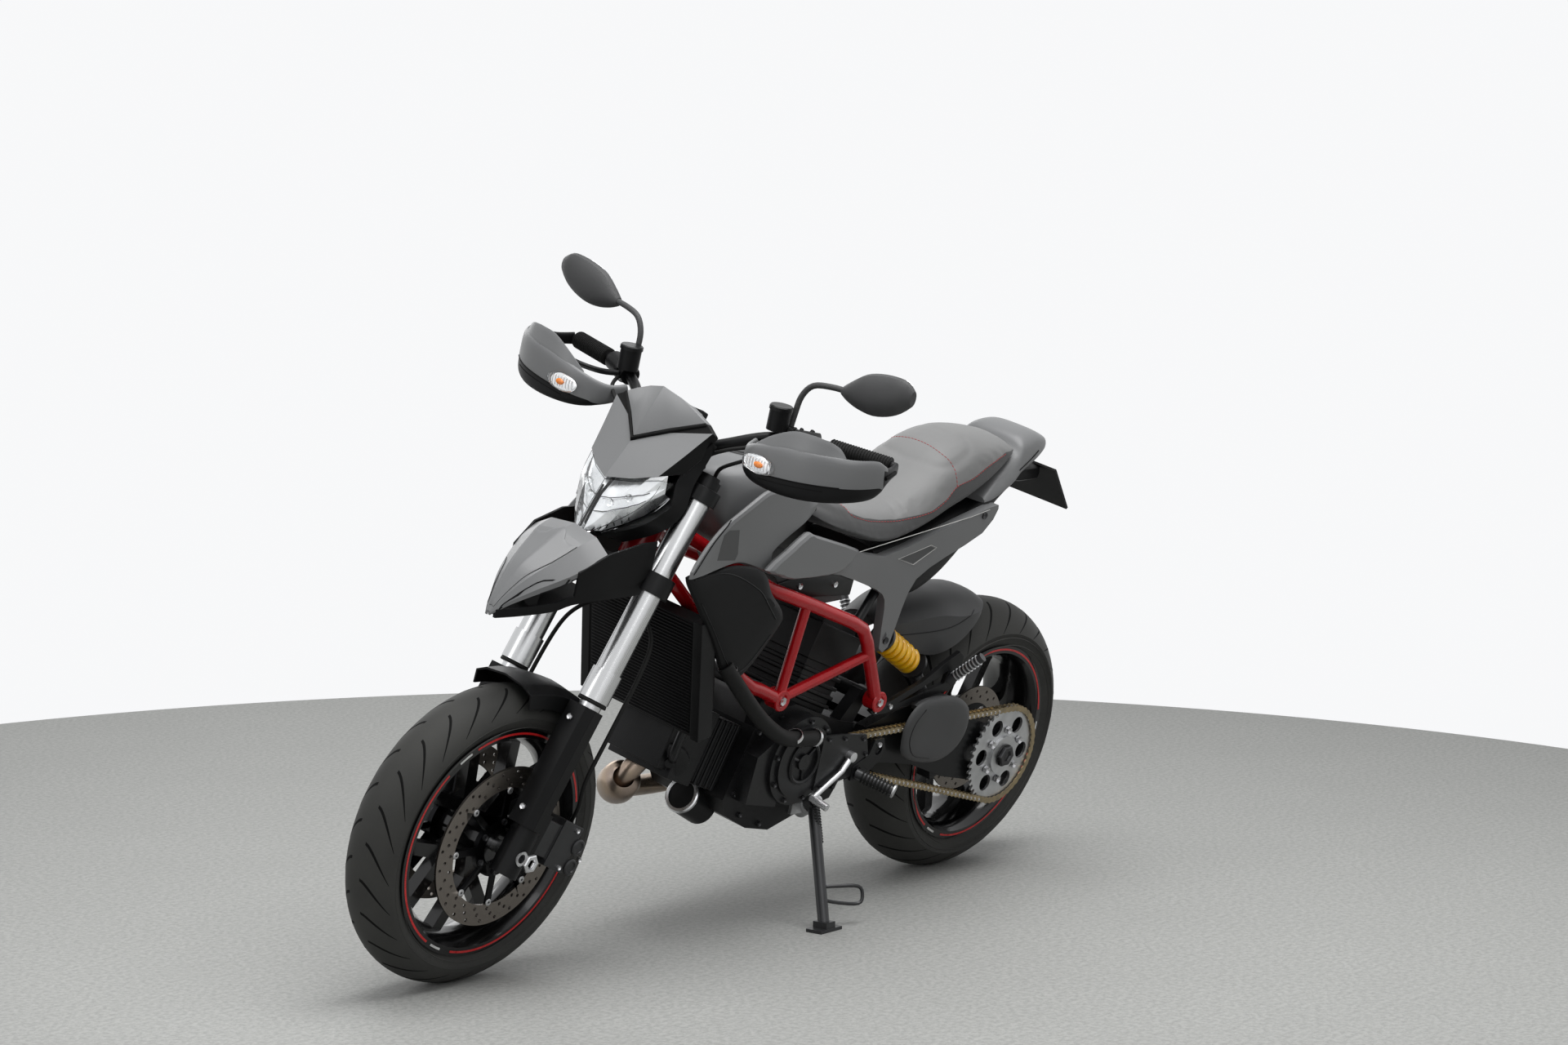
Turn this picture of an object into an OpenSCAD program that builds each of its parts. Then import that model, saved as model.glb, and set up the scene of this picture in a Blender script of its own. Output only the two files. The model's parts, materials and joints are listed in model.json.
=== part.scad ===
// Supermoto motorcycle leaning on its side stand, millimetres.
// +X is forward, +Y is the rider's left, +Z is up.
// The origin is on the ground midway between the two tyre contacts.
// Every piece is drawn on the upright machine and then leaned by parked().

/* [Stance] */
// distance between the axles
wheelbase = 1500; // [1496:1:1504]
// lean onto the side stand in degrees
lean = 15; // [14.5:0.1:15.5]
// steering axis angle from the vertical in degrees
rake = 25.5; // [25.3:0.1:25.7]
// ground distance from the front contact to the steering axis
trail = 104; // [102:1:106]

/* [Wheels] */
// front tyre outer radius
front_r = 300; // [299:0.5:301]
// front tyre width
front_width = 120; // [116:1:122]
// radius of the front tread across the tyre
front_crown = 62; // [61:0.5:66]
// rear tyre outer radius
rear_r = 316; // [315:0.5:317]
// rear tyre width
rear_width = 180; // [174:1:182]
// radius of the rear tread across the tyre
rear_crown = 95; // [93:0.5:99]
// rim radius at the tyre bead
bead_r = 216; // [215:0.5:217]
// height of the rim lip over the bead
lip = 13; // [11:0.5:14]
// tyre wall thickness
tyre_wall = 9; // [7:0.5:11]
// front brake disc radius
disc_r = 160; // [158:1:162]
// brake disc thickness
disc_t = 4.5; // [4:0.5:6]
// rear brake disc radius
rear_disc_r = 122; // [120:1:124]
// sideways place of the front discs
disc_y = 66; // [65:0.5:67]
// spoke thickness along the axle
spoke_t = 26; // [22:1:30]

/* [Front fork] */
// sideways place of the fork legs
leg_y = 105; // [104:0.5:107]
// outer fork tube radius
outer_r = 26; // [25:0.5:27]
// inner fork tube radius
inner_r = 21.5; // [20:0.5:23]
// front axle radius
axle_r = 13; // [12:0.5:14]
// bore through the hollow front axle
axle_bore = 9; // [7:0.5:10]

/* [Frame and drive] */
// trellis tube radius
tube_r = 14; // [13:0.5:16]
// brace tube radius
brace_r = 11; // [10:0.5:13]
// swingarm pivot tube radius
pivot_r = 24; // [22:0.5:26]
// bore through the swingarm pivot
pivot_bore = 12; // [10:0.5:14]
// sideways place of the chain line
chain_y = 142; // [141:0.5:143]
// rear sprocket pitch radius
sprocket_r = 109; // [107:0.5:111]
// front sprocket pitch radius
drive_r = 38; // [36:0.5:40]
// rear axle tube radius
rear_axle_r = 26; // [24:0.5:28]
// bore through the rear axle tube
rear_bore = 17; // [15:0.5:19]

/* [Controls] */
// handlebar tube radius
bar_r = 11; // [10.5:0.5:12]
// grip radius
grip_r = 16.5; // [15:0.5:18]
// footpeg radius
peg_r = 11; // [10:0.5:13]
// side stand leg radius
stand_r = 12; // [11:0.5:14]

/* [Hidden] */
$fn = 64;

// running clearance of a shaft in its bore
run = 0.5;
front_lift = front_crown*(1 - cos(lean));
rear_lift = rear_crown*(1 - cos(lean));
park_lift = (front_lift + rear_lift)/2;
park_pitch = asin((rear_lift - front_lift)/wheelbase);
// the machine is drawn from its front axle, which lies this far ahead of the drawing's zero
front_x = 750;
rear_x = front_x - wheelbase;
datum = [wheelbase/2 - front_x, 0, 0];
head_x = front_x + trail;
fork_u = front_r*sin(rake) - trail*cos(rake);
axle_w = front_r*cos(rake) + trail*sin(rake);

// bike frame to standing frame
function lean_point(p) = [p.x, p.y*cos(lean) + p.z*sin(lean), p.z*cos(lean) - p.y*sin(lean)];
function pitch_point(p) = [
  p.x*cos(park_pitch) + p.z*sin(park_pitch),
  p.y,
  p.z*cos(park_pitch) - p.x*sin(park_pitch) + park_lift
];
function park(p) = pitch_point(lean_point(p + datum));
function unlean_point(p) = [p.x, p.y*cos(lean) - p.z*sin(lean), p.z*cos(lean) + p.y*sin(lean)];
// standing frame to bike frame
function unpark(p) = let (q = p - [0, 0, park_lift]) unlean_point([
  q.x*cos(park_pitch) - q.z*sin(park_pitch), q.y, q.z*cos(park_pitch) + q.x*sin(park_pitch)]) - datum;
module unparked() {
  translate(-datum) rotate([lean, 0, 0]) rotate([0, -park_pitch, 0]) translate([0, 0, -park_lift]) children();
}
module parked() {
  translate([0, 0, park_lift]) rotate([0, park_pitch, 0]) rotate([-lean, 0, 0]) translate(datum) children();
}
// steering frame: u forward, w up the steering axis
module steer_frame() {
  translate([head_x, 0, 0]) rotate([0, -rake, 0]) children();
}
module front_hub() {
  translate([front_x, 0, front_r]) rotate([-90, 0, 0]) children();
}
module rear_hub() {
  translate([rear_x, 0, rear_r]) rotate([-90, 0, 0]) children();
}
module both() {
  children();
  mirror([0, 1, 0]) children();
}
// plate in the side view, from y0 to y1
module side_plate(y0, y1) {
  translate([0, y1, 0]) rotate([90, 0, 0]) linear_extrude(y1 - y0) children();
}
module cross_pin(x, z, y0, y1, r) {
  translate([x, y0, z]) rotate([-90, 0, 0]) cylinder(r = r, h = y1 - y0);
}

function unit(v) = v/norm(v);
function spline(a, b, c, d, t) =
  0.5*(2*b + (c - a)*t + (2*a - 5*b + 4*c - d)*t*t + (3*b - a - 3*c + d)*t*t*t);
// smooth open curve through the points
function smooth(p, n) = let (m = len(p)) [
  for (i = [0:m - 2]) for (k = [0:n - 1])
    spline(p[max(i - 1, 0)], p[i], p[i + 1], p[min(i + 2, m - 1)], k/n),
  p[m - 1]
];
// smooth closed curve through the points
function closed(p, n) = let (m = len(p)) [
  for (i = [0:m - 1]) for (k = [0:n - 1])
    spline(p[(i + m - 1)%m], p[i], p[(i + 1)%m], p[(i + 2)%m], k/n)
];
function centre(ring) = let (n = len(ring)) [for (i = [0:2]) [for (p = ring) p[i]]*[for (p = ring) 1]/n];
function facing(ring, to) = let (n = len(ring), c = centre(ring))
  [for (k = [0:n - 1]) cross(ring[k] - c, ring[(k + 1)%n] - c)*(to - c)]*[for (p = ring) 1];
// closed skin over a row of rings; folded rings get strips for end caps
module skin(rings, folded = false) {
  n = len(rings[0]);
  m = len(rings);
  turn = facing(rings[0], centre(rings[1])) > 0;
  h = n/2;
  points = [for (r = rings) for (p = r) p, centre(rings[0]), centre(rings[m - 1])];
  faces = [
    for (i = [0:m - 2]) for (k = [0:n - 1]) let (j = (k + 1)%n)
      each [[i*n + k, (i + 1)*n + k, i*n + j], [i*n + j, (i + 1)*n + k, (i + 1)*n + j]],
    if (!folded) for (k = [0:n - 1]) let (j = (k + 1)%n)
      each [[m*n, k, j], [m*n + 1, (m - 1)*n + j, (m - 1)*n + k]],
    if (folded) for (e = [0, (m - 1)*n]) for (k = [0:h - 2]) let (a = e + k, b = e + n - 1 - k)
      each (e == 0 ? [[a, a + 1, b], [a + 1, b - 1, b]] : [[a, b, a + 1], [a + 1, b, b - 1]])
  ];
  polyhedron(folded ? [for (r = rings) for (p = r) p] : points, turn ? faces : [for (f = faces) [f[0],
    f[2], f[1]]]);
}
function tangent(path, i) = unit(path[min(i + 1, len(path) - 1)] - path[max(i - 1, 0)]);
// round bar bent along a path
module bent_bar(path, r, up = [0, 0, 1], n = 12) {
  skin([
    for (i = [0:len(path) - 1])
      let (t = tangent(path, i), a = unit(cross(up, t)), b = cross(t, a))
        [for (k = [0:n - 1]) path[i] + r*(cos(360*k/n)*a + sin(360*k/n)*b)]
  ]);
}
// round bar between two points
module rod(a, b, r) {
  d = b - a;
  translate(a) rotate([0, acos(d.z/norm(d)), atan2(d.y, d.x)]) cylinder(r = r, h = norm(d));
}
function swell(c, e) = sign(c)*pow(abs(c), 2/e);
// rounded hoop across the machine: [x, half width, low z, high z, squareness, top narrowing]
function hoop(s, n = 24) = [
  for (k = [0:n - 1]) let (a = 360*k/n, c = swell(cos(a), s[4]), h = swell(sin(a), s[4]))
    [s[0], s[1]*c*(1 - s[5]*h), (s[2] + s[3])/2 + (s[3] - s[2])/2*h]
];
module hooped(rows, steps, n = 24) {
  skin([for (s = smooth(rows, steps)) hoop(s, n)]);
}
// cushioned side panel over an [x, z] outline; inner and outer give y at the rear and the front
module side_panel(outline, inner, outer, edge = 0.88, steps = 4) {
  ring = closed(outline, steps);
  xs = [for (p = ring) p[0]];
  c = [xs*[for (p = ring) 1], [for (p = ring) p[1]]*[for (p = ring) 1]]/len(ring);
  span = max(xs) - min(xs);
  function y_at(x, ends) = ends[0] + (ends[1] - ends[0])*(x - min(xs))/span;
  skin([
    for (l = [[0, 0.97], [0.35, 1], [0.75, (3 + edge)/4], [1, edge]])
      [for (p = ring) let (q = c + (p - c)*l[1])
        [q[0], y_at(q[0], inner)*(1 - l[0]) + y_at(q[0], outer)*l[0], q[1]]]
  ]);
}

// wheels
module tyre_section(r, width, crown, seat) {
  difference() {
    intersection() {
      translate([r - crown, 0]) circle(crown);
      polygon([[bead_r, -seat], [bead_r + lip, -seat - 1], [r - 48, -width/2], [r + 1, -width/2],
        [r + 1, width/2], [r - 48, width/2], [bead_r + lip, seat + 1], [bead_r, seat]]);
    }
    intersection() {
      translate([r - crown, 0]) circle(crown - tyre_wall);
      polygon([[bead_r - 1, tyre_wall - seat], [bead_r + lip, tyre_wall - seat],
        [r - 48, tyre_wall - width/2], [r, tyre_wall - width/2], [r, width/2 - tyre_wall],
        [r - 48, width/2 - tyre_wall], [bead_r + lip, seat - tyre_wall],
        [bead_r - 1, seat - tyre_wall]]);
    }
  }
}
front_seat = 44.5;
rear_seat = 70;
rim_gap = 1.2;
rim_flange = 6;
module rim_section(seat) {
  inner = seat + rim_gap;
  outer = inner + rim_flange;
  r = bead_r;
  polygon([[r, -inner], [r + lip - 2, -inner], [r + lip, -inner - 2], [r + lip, -outer], [r - 4, -outer],
    [r - 14, -outer + 14], [r - 22, -seat/2], [r - 26, 0], [r - 22, seat/2], [r - 14, outer - 14],
    [r - 4, outer], [r + lip, outer], [r + lip, inner + 2], [r + lip - 2, inner], [r, inner],
    [r, seat - 12], [r - 10, seat/2], [r - 14, 0], [r - 10, -seat/2], [r, 12 - seat]]);
}
spoke_pairs = 5;
// forked spoke in the wheel plane
module spoke_shape(hub_r, rim_r) {
  fork_r = 92;
  spread = 19;
  foot = 13;
  neck = 11;
  tip = rim_r*[cos(spread), sin(spread)];
  polygon([[hub_r - 8, -24], [fork_r - 8, -neck - 8], rim_r*[cos(spread + 5), -sin(spread + 5)],
    rim_r*[cos(spread - 2.5), -sin(spread - 2.5)], [fork_r + foot, 0],
    rim_r*[cos(spread - 2.5), sin(spread - 2.5)], rim_r*[cos(spread + 5), sin(spread + 5)],
    [fork_r - 8, neck + 8], [hub_r - 8, 24]]);
}
module spokes(hub_r, rim_r, thick, y, turn) {
  for (i = [0:spoke_pairs - 1])
    rotate([0, 0, 360*i/spoke_pairs + turn]) translate([0, 0, y - thick/2])
      linear_extrude(thick) spoke_shape(hub_r, rim_r);
}
hub_f = 42;
hub_half = 58;
module front_tyre() {
  color("#1b1b1c") front_hub() rotate_extrude() tyre_section(front_r, front_width, front_crown, front_seat);
}
module front_rim() {
  color("#0d0d0e") front_hub() difference() {
    union() {
      rotate_extrude() rim_section(front_seat);
      spokes(hub_f, bead_r - 20, spoke_t, 0, 18);
      translate([0, 0, -hub_half]) cylinder(r = hub_f, h = 2*hub_half);
    }
    translate([0, 0, -hub_half - 1]) cylinder(r = axle_r + run, h = 2*hub_half + 2);
  }
}
disc_in = 118;
drill_r = 3.6;
drill_rows = 24;
carrier_r = 112;
module front_discs() {
  color("#6a5d50") front_hub() both_ends() translate([0, 0, disc_y - disc_t/2]) difference() {
    union() {
      difference() {
        cylinder(r = disc_r, h = disc_t);
        translate([0, 0, -1]) cylinder(r = disc_in, h = disc_t + 2);
      }
      for (i = [0:7]) rotate([0, 0, 45*i]) translate([54, -7, 0]) cube([disc_in - 52, 14, disc_t]);
      translate([0, 0, hub_half - disc_y + disc_t/2]) cylinder(r = 60,
        h = disc_t + disc_y - hub_half - disc_t/2);
    }
    translate([0, 0, -30]) cylinder(r = hub_f - 4, h = 60);
    for (i = [0:drill_rows - 1]) for (k = [0:2]) rotate([0, 0, (i + k/3)*360/drill_rows])
      translate([disc_in + 9 + 12*k, 0, -1]) cylinder(r = drill_r, h = disc_t + 2);
  }
}
module both_ends() {
  children();
  mirror([0, 0, 1]) children();
}
module rear_tyre() {
  color("#1b1b1c") rear_hub() rotate_extrude() tyre_section(rear_r, rear_width, rear_crown, rear_seat);
}
hub_r_r = 52;
rear_face = -48;
rear_back = 34;
module rear_rim() {
  color("#0d0d0e") rear_hub() difference() {
    union() {
      rotate_extrude() rim_section(rear_seat);
      spokes(hub_r_r, bead_r - 20, spoke_t, -28, 0);
      translate([0, 0, rear_face]) cylinder(r = hub_r_r, h = rear_back - rear_face);
      translate([0, 0, rear_back]) cylinder(r = rear_axle_r, h = chain_y + 14 - rear_back);
      translate([0, 0, rear_face - 14]) cylinder(r = 30, h = 15, $fn = 6);
    }
    translate([0, 0, rear_face - 20]) cylinder(r = rear_bore, h = 260);
  }
}
rear_disc_y = 44;
module rear_disc() {
  color("#6a5d50") rear_hub() translate([0, 0, rear_disc_y - disc_t/2]) difference() {
    cylinder(r = rear_disc_r, h = disc_t);
    translate([0, 0, -1]) cylinder(r = rear_axle_r, h = disc_t + 2);
    for (i = [0:5]) rotate([0, 0, 60*i]) translate([64, 0, -1]) cylinder(r = 17, h = disc_t + 2);
    for (i = [0:17]) for (k = [0:1]) rotate([0, 0, 20*i + 10*k])
      translate([rear_disc_r - 24 + 13*k, 0, -1]) cylinder(r = drill_r, h = disc_t + 2);
  }
}
sprocket_t = 6;
teeth = 43;
tooth_h = 4;
tooth_root = 4.5;
module sprocket() {
  step = 360/teeth;
  outline = [
    for (i = [0:teeth - 1]) for (q = [[-0.32, -tooth_root], [-0.12, tooth_h], [0.12, tooth_h],
      [0.32, -tooth_root]])
      (sprocket_r + q[1])*[cos((i + q[0])*step), sin((i + q[0])*step)]
  ];
  color("#a9acb0") rear_hub() translate([0, 0, chain_y - sprocket_t/2]) difference() {
    union() {
      linear_extrude(sprocket_t) polygon(outline);
      translate([0, 0, -4]) cylinder(r = 44, h = sprocket_t + 11);
    }
    translate([0, 0, -5]) cylinder(r = rear_axle_r, h = 30);
    for (i = [0:5]) rotate([0, 0, 60*i]) translate([74, 0, -1]) cylinder(r = 19, h = sprocket_t + 2);
  }
}

// engine and frame
upper_front = [406, 20, 904];
lower_front = [438, 20, 850];
front_boss = [78, 130, 540];
rear_boss = [-254, 130, 497];
upper_mid = [189, 140, 788];
lower_knee = [218, 130, 602];
upper_run = [[-96, 140, 692], [-140, 139, 672], [-168, 137, 640], [-184, 136, 610]];
pivot = [-264, 0, 396];
head_low = 918;
head_high = 1050;
boss_in = 112;
boss_out = 140;
boss_r = 21;
boss_bore = 8;
stem_bore = 19;
module frame() {
  color("#b01116") difference() {
    union() {
      steer_frame() translate([0, 0, head_low]) cylinder(r = 30, h = head_high - head_low);
      both() {
        bent_bar(concat([upper_front, [300, 84, 847]], [upper_mid], [[60, 141, 746]],
          upper_run, [rear_boss]), tube_r, [0, 1, 0], 16);
        bent_bar(smooth([lower_front, [330, 78, 730], lower_knee, [150, 131, 570], front_boss],
          2), tube_r, [0, 1, 0], 16);
        rod(front_boss, upper_run[3], brace_r);
        rod([64, 139, 742], front_boss, brace_r);
        cross_pin(front_boss.x, front_boss.z, boss_in, boss_out, boss_r);
        cross_pin(rear_boss.x, rear_boss.z, boss_in, boss_out, boss_r);
      }
    }
    steer_frame() translate([0, 0, head_low - 20]) cylinder(r = stem_bore, h = head_high - head_low + 40);
    both() {
      cross_pin(front_boss.x, front_boss.z, boss_out - 14, boss_out + 1, boss_bore);
      cross_pin(rear_boss.x, rear_boss.z, boss_out - 14, boss_out + 1, boss_bore);
    }
  }
}
case_half = 104;
module crankcase() {
  color("#232426") {
    side_plate(-case_half, case_half) polygon([[-232, 440], [-170, 453], [-20, 507], [40, 500], [98, 470],
      [152, 320], [128, 280], [60, 246], [-17, 230], [-94, 252], [-205, 274], [-236, 330]]);
    cross_pin(front_boss.x, front_boss.z, -boss_in, boss_in, 16);
    cross_pin(rear_boss.x, rear_boss.z, -boss_in, boss_in, 16);
    for (s = [-1, 1]) {
      side_plate(s*88 - 14, s*88 + 14) polygon([[40, 480], [62, 556], [94, 556], [98, 460]]);
      side_plate(s*88 - 14, s*88 + 14) polygon([[-270, 512], [-238, 512], [-180, 445], [-226, 430]]);
    }
    translate([112, 20, 268]) rotate([0, 62, 0]) cylinder(r = 38, h = 76);
  }
}
cyl_tilt = 20;
bore_r = 66;
module one_cylinder() {
  // barrel, head and cam cover along +Z
  translate([-bore_r, -74, 0]) cube([2*bore_r, 148, 96]);
  for (i = [0:3]) translate([-bore_r - 6, -80, 12 + 20*i]) cube([2*bore_r + 12, 160, 8]);
  translate([-78, -82, 96]) cube([156, 164, 78]);
  translate([-64, -70, 174]) cube([128, 140, 30]);
}
module cylinders() {
  color("#2a2b2d") {
    translate([125, 0, 395]) rotate([0, 90 - cyl_tilt, 0]) one_cylinder();
    translate([-95, 0, 480]) rotate([0, -cyl_tilt, 0]) one_cylinder();
  }
}
left_cover = [-24, 398];
// outer face of the engine's side covers
cover_y = case_half + 42;
module engine_covers() {
  color("#333538") {
    difference() {
      union() {
        cross_pin(left_cover[0], left_cover[1], case_half, cover_y, 96);
        cross_pin(left_cover[0], left_cover[1], cover_y - 1, cover_y + 6, 78);
        side_plate(case_half, cover_y - 8) polygon([[20, 300], [120, 320], [112, 420], [30, 470]]);
        side_plate(cover_y + 5, cover_y + 11) polygon([[-70, 330], [-140, 338], [-216, 352],
          [-232, 392], [-214, 436],
          [-140, 446],
          [-70, 450]]);
      }
      cross_pin(left_cover[0], left_cover[1], cover_y + 2, cover_y + 14, 40);
    }
    cross_pin(left_cover[0], left_cover[1], cover_y + 1, cover_y + 8, 17);
    cross_pin(-40, 392, -cover_y - 4, -case_half, 104);
    cross_pin(-40, 392, -cover_y - 12, -cover_y - 3, 74);
    side_plate(10 - cover_y, -case_half) polygon([[-20, 470], [110, 440], [128, 330], [30, 290]]);
  }
}
rad_tilt = 14;
module radiator() {
  color("#2b2d30") translate([308, 0, 504]) rotate([0, rad_tilt, 0]) {
    translate([0, -140, 0]) cube([34, 280, 250]);
    for (s = [-1, 1]) translate([-3, s*150 - 11, -4]) cube([40, 22, 258]);
    translate([-40, -130, 30]) cube([41, 260, 190]);
  }
}
module coolant_hose() {
  color("#1a1a1b") bent_bar(smooth([[310, 162, 648], [289, 172, 622], [193, 176, 536], [110, 172, 484],
    [56, 166, 465],
    [0, 164, 457], [-42, 160, 452]], 4), 17);
}
module airbox() {
  color("#1c1d1e") {
    side_plate(-112, 112) polygon([[150, 800], [-70, 786], [-84, 730], [8, 726], [120, 764]]);
    // pad under the tank
    side_plate(-12, 12) polygon([[186, 843], [168, 848.9], [110, 790], [130, 770]]);
  }
}

// bodywork
module tank() {
  color("#4b4c4e") hooped([[330, 54, 932, 1004, 3, 0.1], [306, 98, 880, 1022, 4, 0.1],
    [254, 122, 838, 1034, 4.5, 0.1], [190, 116, 842, 1028, 4.5, 0.1], [118, 106, 872, 1002, 4.5, 0.1],
    [70, 97, 906, 974, 4, 0.1], [52, 86, 926, 960, 3, 0.1]], 3, 28);
}
wing_line = [[487, 846], [471, 882], [414, 936], [349, 964], [306, 982], [254, 1000], [180, 988], [110, 970], [64, 950],
  [84, 922], [126, 903], [170, 884], [206, 862], [198, 838], [196, 820], [240, 832], [297, 850], [343, 860], [420, 853]];
lower_line = [[482, 846], [420, 851], [343, 858], [254, 840], [221, 795], [168, 745], [182, 705],
  [256, 621], [307, 627],
  [372, 712], [440, 792]];
cover_line = [[244, 838], [199, 823], [150, 808], [3, 797], [-60, 802], [-100, 832], [-88, 842],
  [0, 868], [90, 893],
  [118, 900], [180, 870]];
module shrouds() {
  color("#4b4c4e") both() side_panel(wing_line, [104, 167], [118, 179], 0.92, 2);
}
module lower_shrouds() {
  color("#1e1f20") both() side_panel(lower_line, [152, 154], [174, 168], 0.86, 3);
}
seat_rows = [[46, 92, 902, 952, 2.6, 0.12], [0, 106, 882, 936, 2.8, 0.14], [-80, 116, 858, 916, 2.8, 0.16],
  [-170, 121, 838, 908, 3, 0.18], [-250, 121, 848, 922, 3, 0.18], [-330, 118, 868, 968, 3, 0.2],
  [-390, 114, 884, 1014, 2.8, 0.22], [-460, 108, 906, 1038, 2.8, 0.24], [-540, 100, 944, 1040, 2.8, 0.22],
  [-610, 88, 986, 1032, 2.6, 0.16], [-640, 72, 1006, 1024, 2.4, 0.1]];
module seat() {
  color("#55565a") hooped(seat_rows, 3, 28);
}
tail_line = [[-50, 838], [-79, 842], [-183, 818], [-350, 858], [-521, 901], [-552, 896], [-513, 844],
  [-400, 800],
  [-312, 758], [-285, 695], [-266, 612], [-236, 612], [-224, 700], [-206, 734], [-150, 758],
    [-50, 790], [-10, 800]];
module tail_panels() {
  color("#4b4c4e") {
    both() side_plate(101, 122) polygon(closed(tail_line, 2));
    both() side_panel(cover_line, [104, 150], [121, 168], 0.9, 2);
  }
}
module tail_unit() {
  color("#4b4c4e") skin([
    for (s = smooth([[-520, 104, 902, 918], [-554, 104, 900, 948], [-608, 97, 914, 984],
      [-642, 91, 928, 1006],
      [-660, 88, 940, 1034], [-712, 82, 968, 1042], [-746, 74, 994, 1034], [-762, 60, 1008, 1026]], 3))
      hoop([s[0], s[1], s[2], s[3], 3.4, 0.06], 24)
  ]);
}
module under_tail() {
  color("#1e1f20") {
    both() rod([-130, 126, 680], [-260, 84, 770], 10);
    hooped([[-190, 92, 772, 826, 4, 0], [-330, 96, 694, 848, 4, 0], [-440, 88, 722, 876, 4, 0],
    [-530, 80, 796, 896, 4, 0], [-600, 70, 868, 908, 4, 0], [-690, 56, 922, 950, 4, 0]], 3, 20);
  }
}
module tail_light() {
  color("#8e1014") hooped([[-742, 52, 1008, 1022, 3, 0], [-764, 54, 1006, 1024, 3, 0],
    [-774, 44, 1009, 1021, 3, 0]], 2, 16);
}
plate_top = [-788, 0, 952];
plate_tilt = 41;
module plate_holder() {
  color("#1e1f20") {
    hooped([[-676, 50, 926, 944, 4, 0], [-720, 52, 918, 956, 4, 0], [-790, 46, 918, 954, 4, 0]], 2, 16);
    translate(plate_top) rotate([0, plate_tilt, 0]) translate([-5, -88, -120]) cube([6, 176, 124]);
  }
}
arm_in = 100;
arm_out = 127;
hub_in = 62;
hub_out = 128;
hub_r = 60;
module swingarm() {
  color("#1d1e20") difference() {
    union() {
      cross_pin(pivot.x, pivot.z, -124, arm_out, pivot_r + 10);
      side_plate(arm_in, arm_out) polygon([[-246, 436], [-232, 396], [-252, 356], [-340, 344],
        [-440, 326], [-560, 282],
        [rear_x + 60, rear_r - 62], [rear_x - 10, rear_r - 66], [rear_x - 56, rear_r - 40],
        [rear_x - 68, rear_r], [rear_x - 56, rear_r + 36], [rear_x - 10, rear_r + 66],
        [rear_x + 70, rear_r + 76], [rear_x + 150, rear_r + 104], [-520, 462], [-440, 476], [-340, 462]]);
      rear_hub() translate([0, 0, hub_in]) cylinder(r = hub_r, h = hub_out - hub_in);
      side_plate(-70, arm_out - 6) polygon([[-300, 360], [-290, 440], [-380, 440], [-404, 350]]);
    }
    cross_pin(pivot.x, pivot.z, -140, 160, pivot_bore);
    rear_hub() translate([0, 0, hub_in - 12]) cylinder(r = rear_axle_r + run, h = 120);
  }
}
// folded sheet over rows of [x, ridge z, half width, shoulder z, low z]
module folded_sheet(rows, steps, t) {
  skin([
    for (s = smooth(rows, steps)) let (x = s[0], r = s[1], w = s[2], h = s[3], l = s[4])
      [for (q = [[1, l], [1, h], [0.62, h + 0.72*(r - h)], [0, r], [-0.62, h + 0.72*(r - h)], [-1, h],
        [-1, l]])
         [x, w*q[0], q[1]],
       for (q = [[-1, l], [-1, h - t/2], [-0.6, h + 0.72*(r - h) - t], [0, r - t],
         [0.6, h + 0.72*(r - h) - t],
         [1, h - t/2], [1, l]])
         [x, (w - t)*q[0], q[1]]]
  ], true);
}
module rear_guards() {
  color("#1e1f20") {
    folded_sheet([[-316, 646, 52, 622, 590], [-400, 668, 78, 640, 574], [-480, 682, 94, 650, 560],
      [-560, 685, 98, 642, 584], [-620, 681, 92, 648, 628], [-652, 674, 70, 660, 652],
        [-664, 667, 34, 663, 660]], 3, 4);
    cover = closed([[-348, 408], [-362, 366], [-430, 342], [-492, 337], [-540, 352], [-572, 384],
      [-578, 424],
      [-560, 460], [-501, 487], [-413, 489], [-374, 474], [-352, 446]], 3);
    mid = [-440, 414];
    skin([for (q = [[151.5, 1], [156, 0.985], [160, 0.93], [162.5, 0.8], [163.5, 0.55]])
      [for (p = cover) [mid[0] + q[1]*(p[0] - mid[0]), q[0], mid[1] + q[1]*(p[1] - mid[1])]]]);
    side_plate(arm_out - 3, 153) polygon([[-390, 472], [-413, 487], [-501, 485], [-540, 468],
      [-534, 460], [-500, 474],
      [-414, 474], [-394, 462]]);
  }
}
link_h = 15;
plate_t = 2.6;
plate_gap = 5.5;
pitch = 15.875;
drive_x = -192;
drive_z = 392;
chain_tilt = atan2(drive_z - rear_r, drive_x - rear_x);
chain_span = norm([drive_x - rear_x, drive_z - rear_r]);
lap = acos((sprocket_r - drive_r)/chain_span);
run_len = sqrt(chain_span*chain_span - pow(sprocket_r - drive_r, 2));
rear_len = sprocket_r*(360 - 2*lap)*PI/180;
drive_len = drive_r*2*lap*PI/180;
loop_len = rear_len + drive_len + 2*run_len;
links = round(loop_len/pitch);
// point of the chain loop at length s, moved out by g
function loop_at(s, g) =
  s < rear_len ? (sprocket_r + g)*[cos(lap + s/sprocket_r*180/PI), sin(lap + s/sprocket_r*180/PI)] :
  s < rear_len + run_len ? let (k = (s - rear_len)/run_len)
    (sprocket_r + (drive_r - sprocket_r)*k + g)*[cos(lap), -sin(lap)] + [chain_span*k, 0] :
  s < rear_len + run_len + drive_len ? let (a = -lap + (s - rear_len - run_len)/drive_r*180/PI)
    (drive_r + g)*[cos(a), sin(a)] + [chain_span, 0] :
  let (k = (s - rear_len - run_len - drive_len)/run_len)
    (drive_r + (sprocket_r - drive_r)*k + g)*[cos(lap), sin(lap)] + [chain_span*(1 - k), 0];
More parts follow.
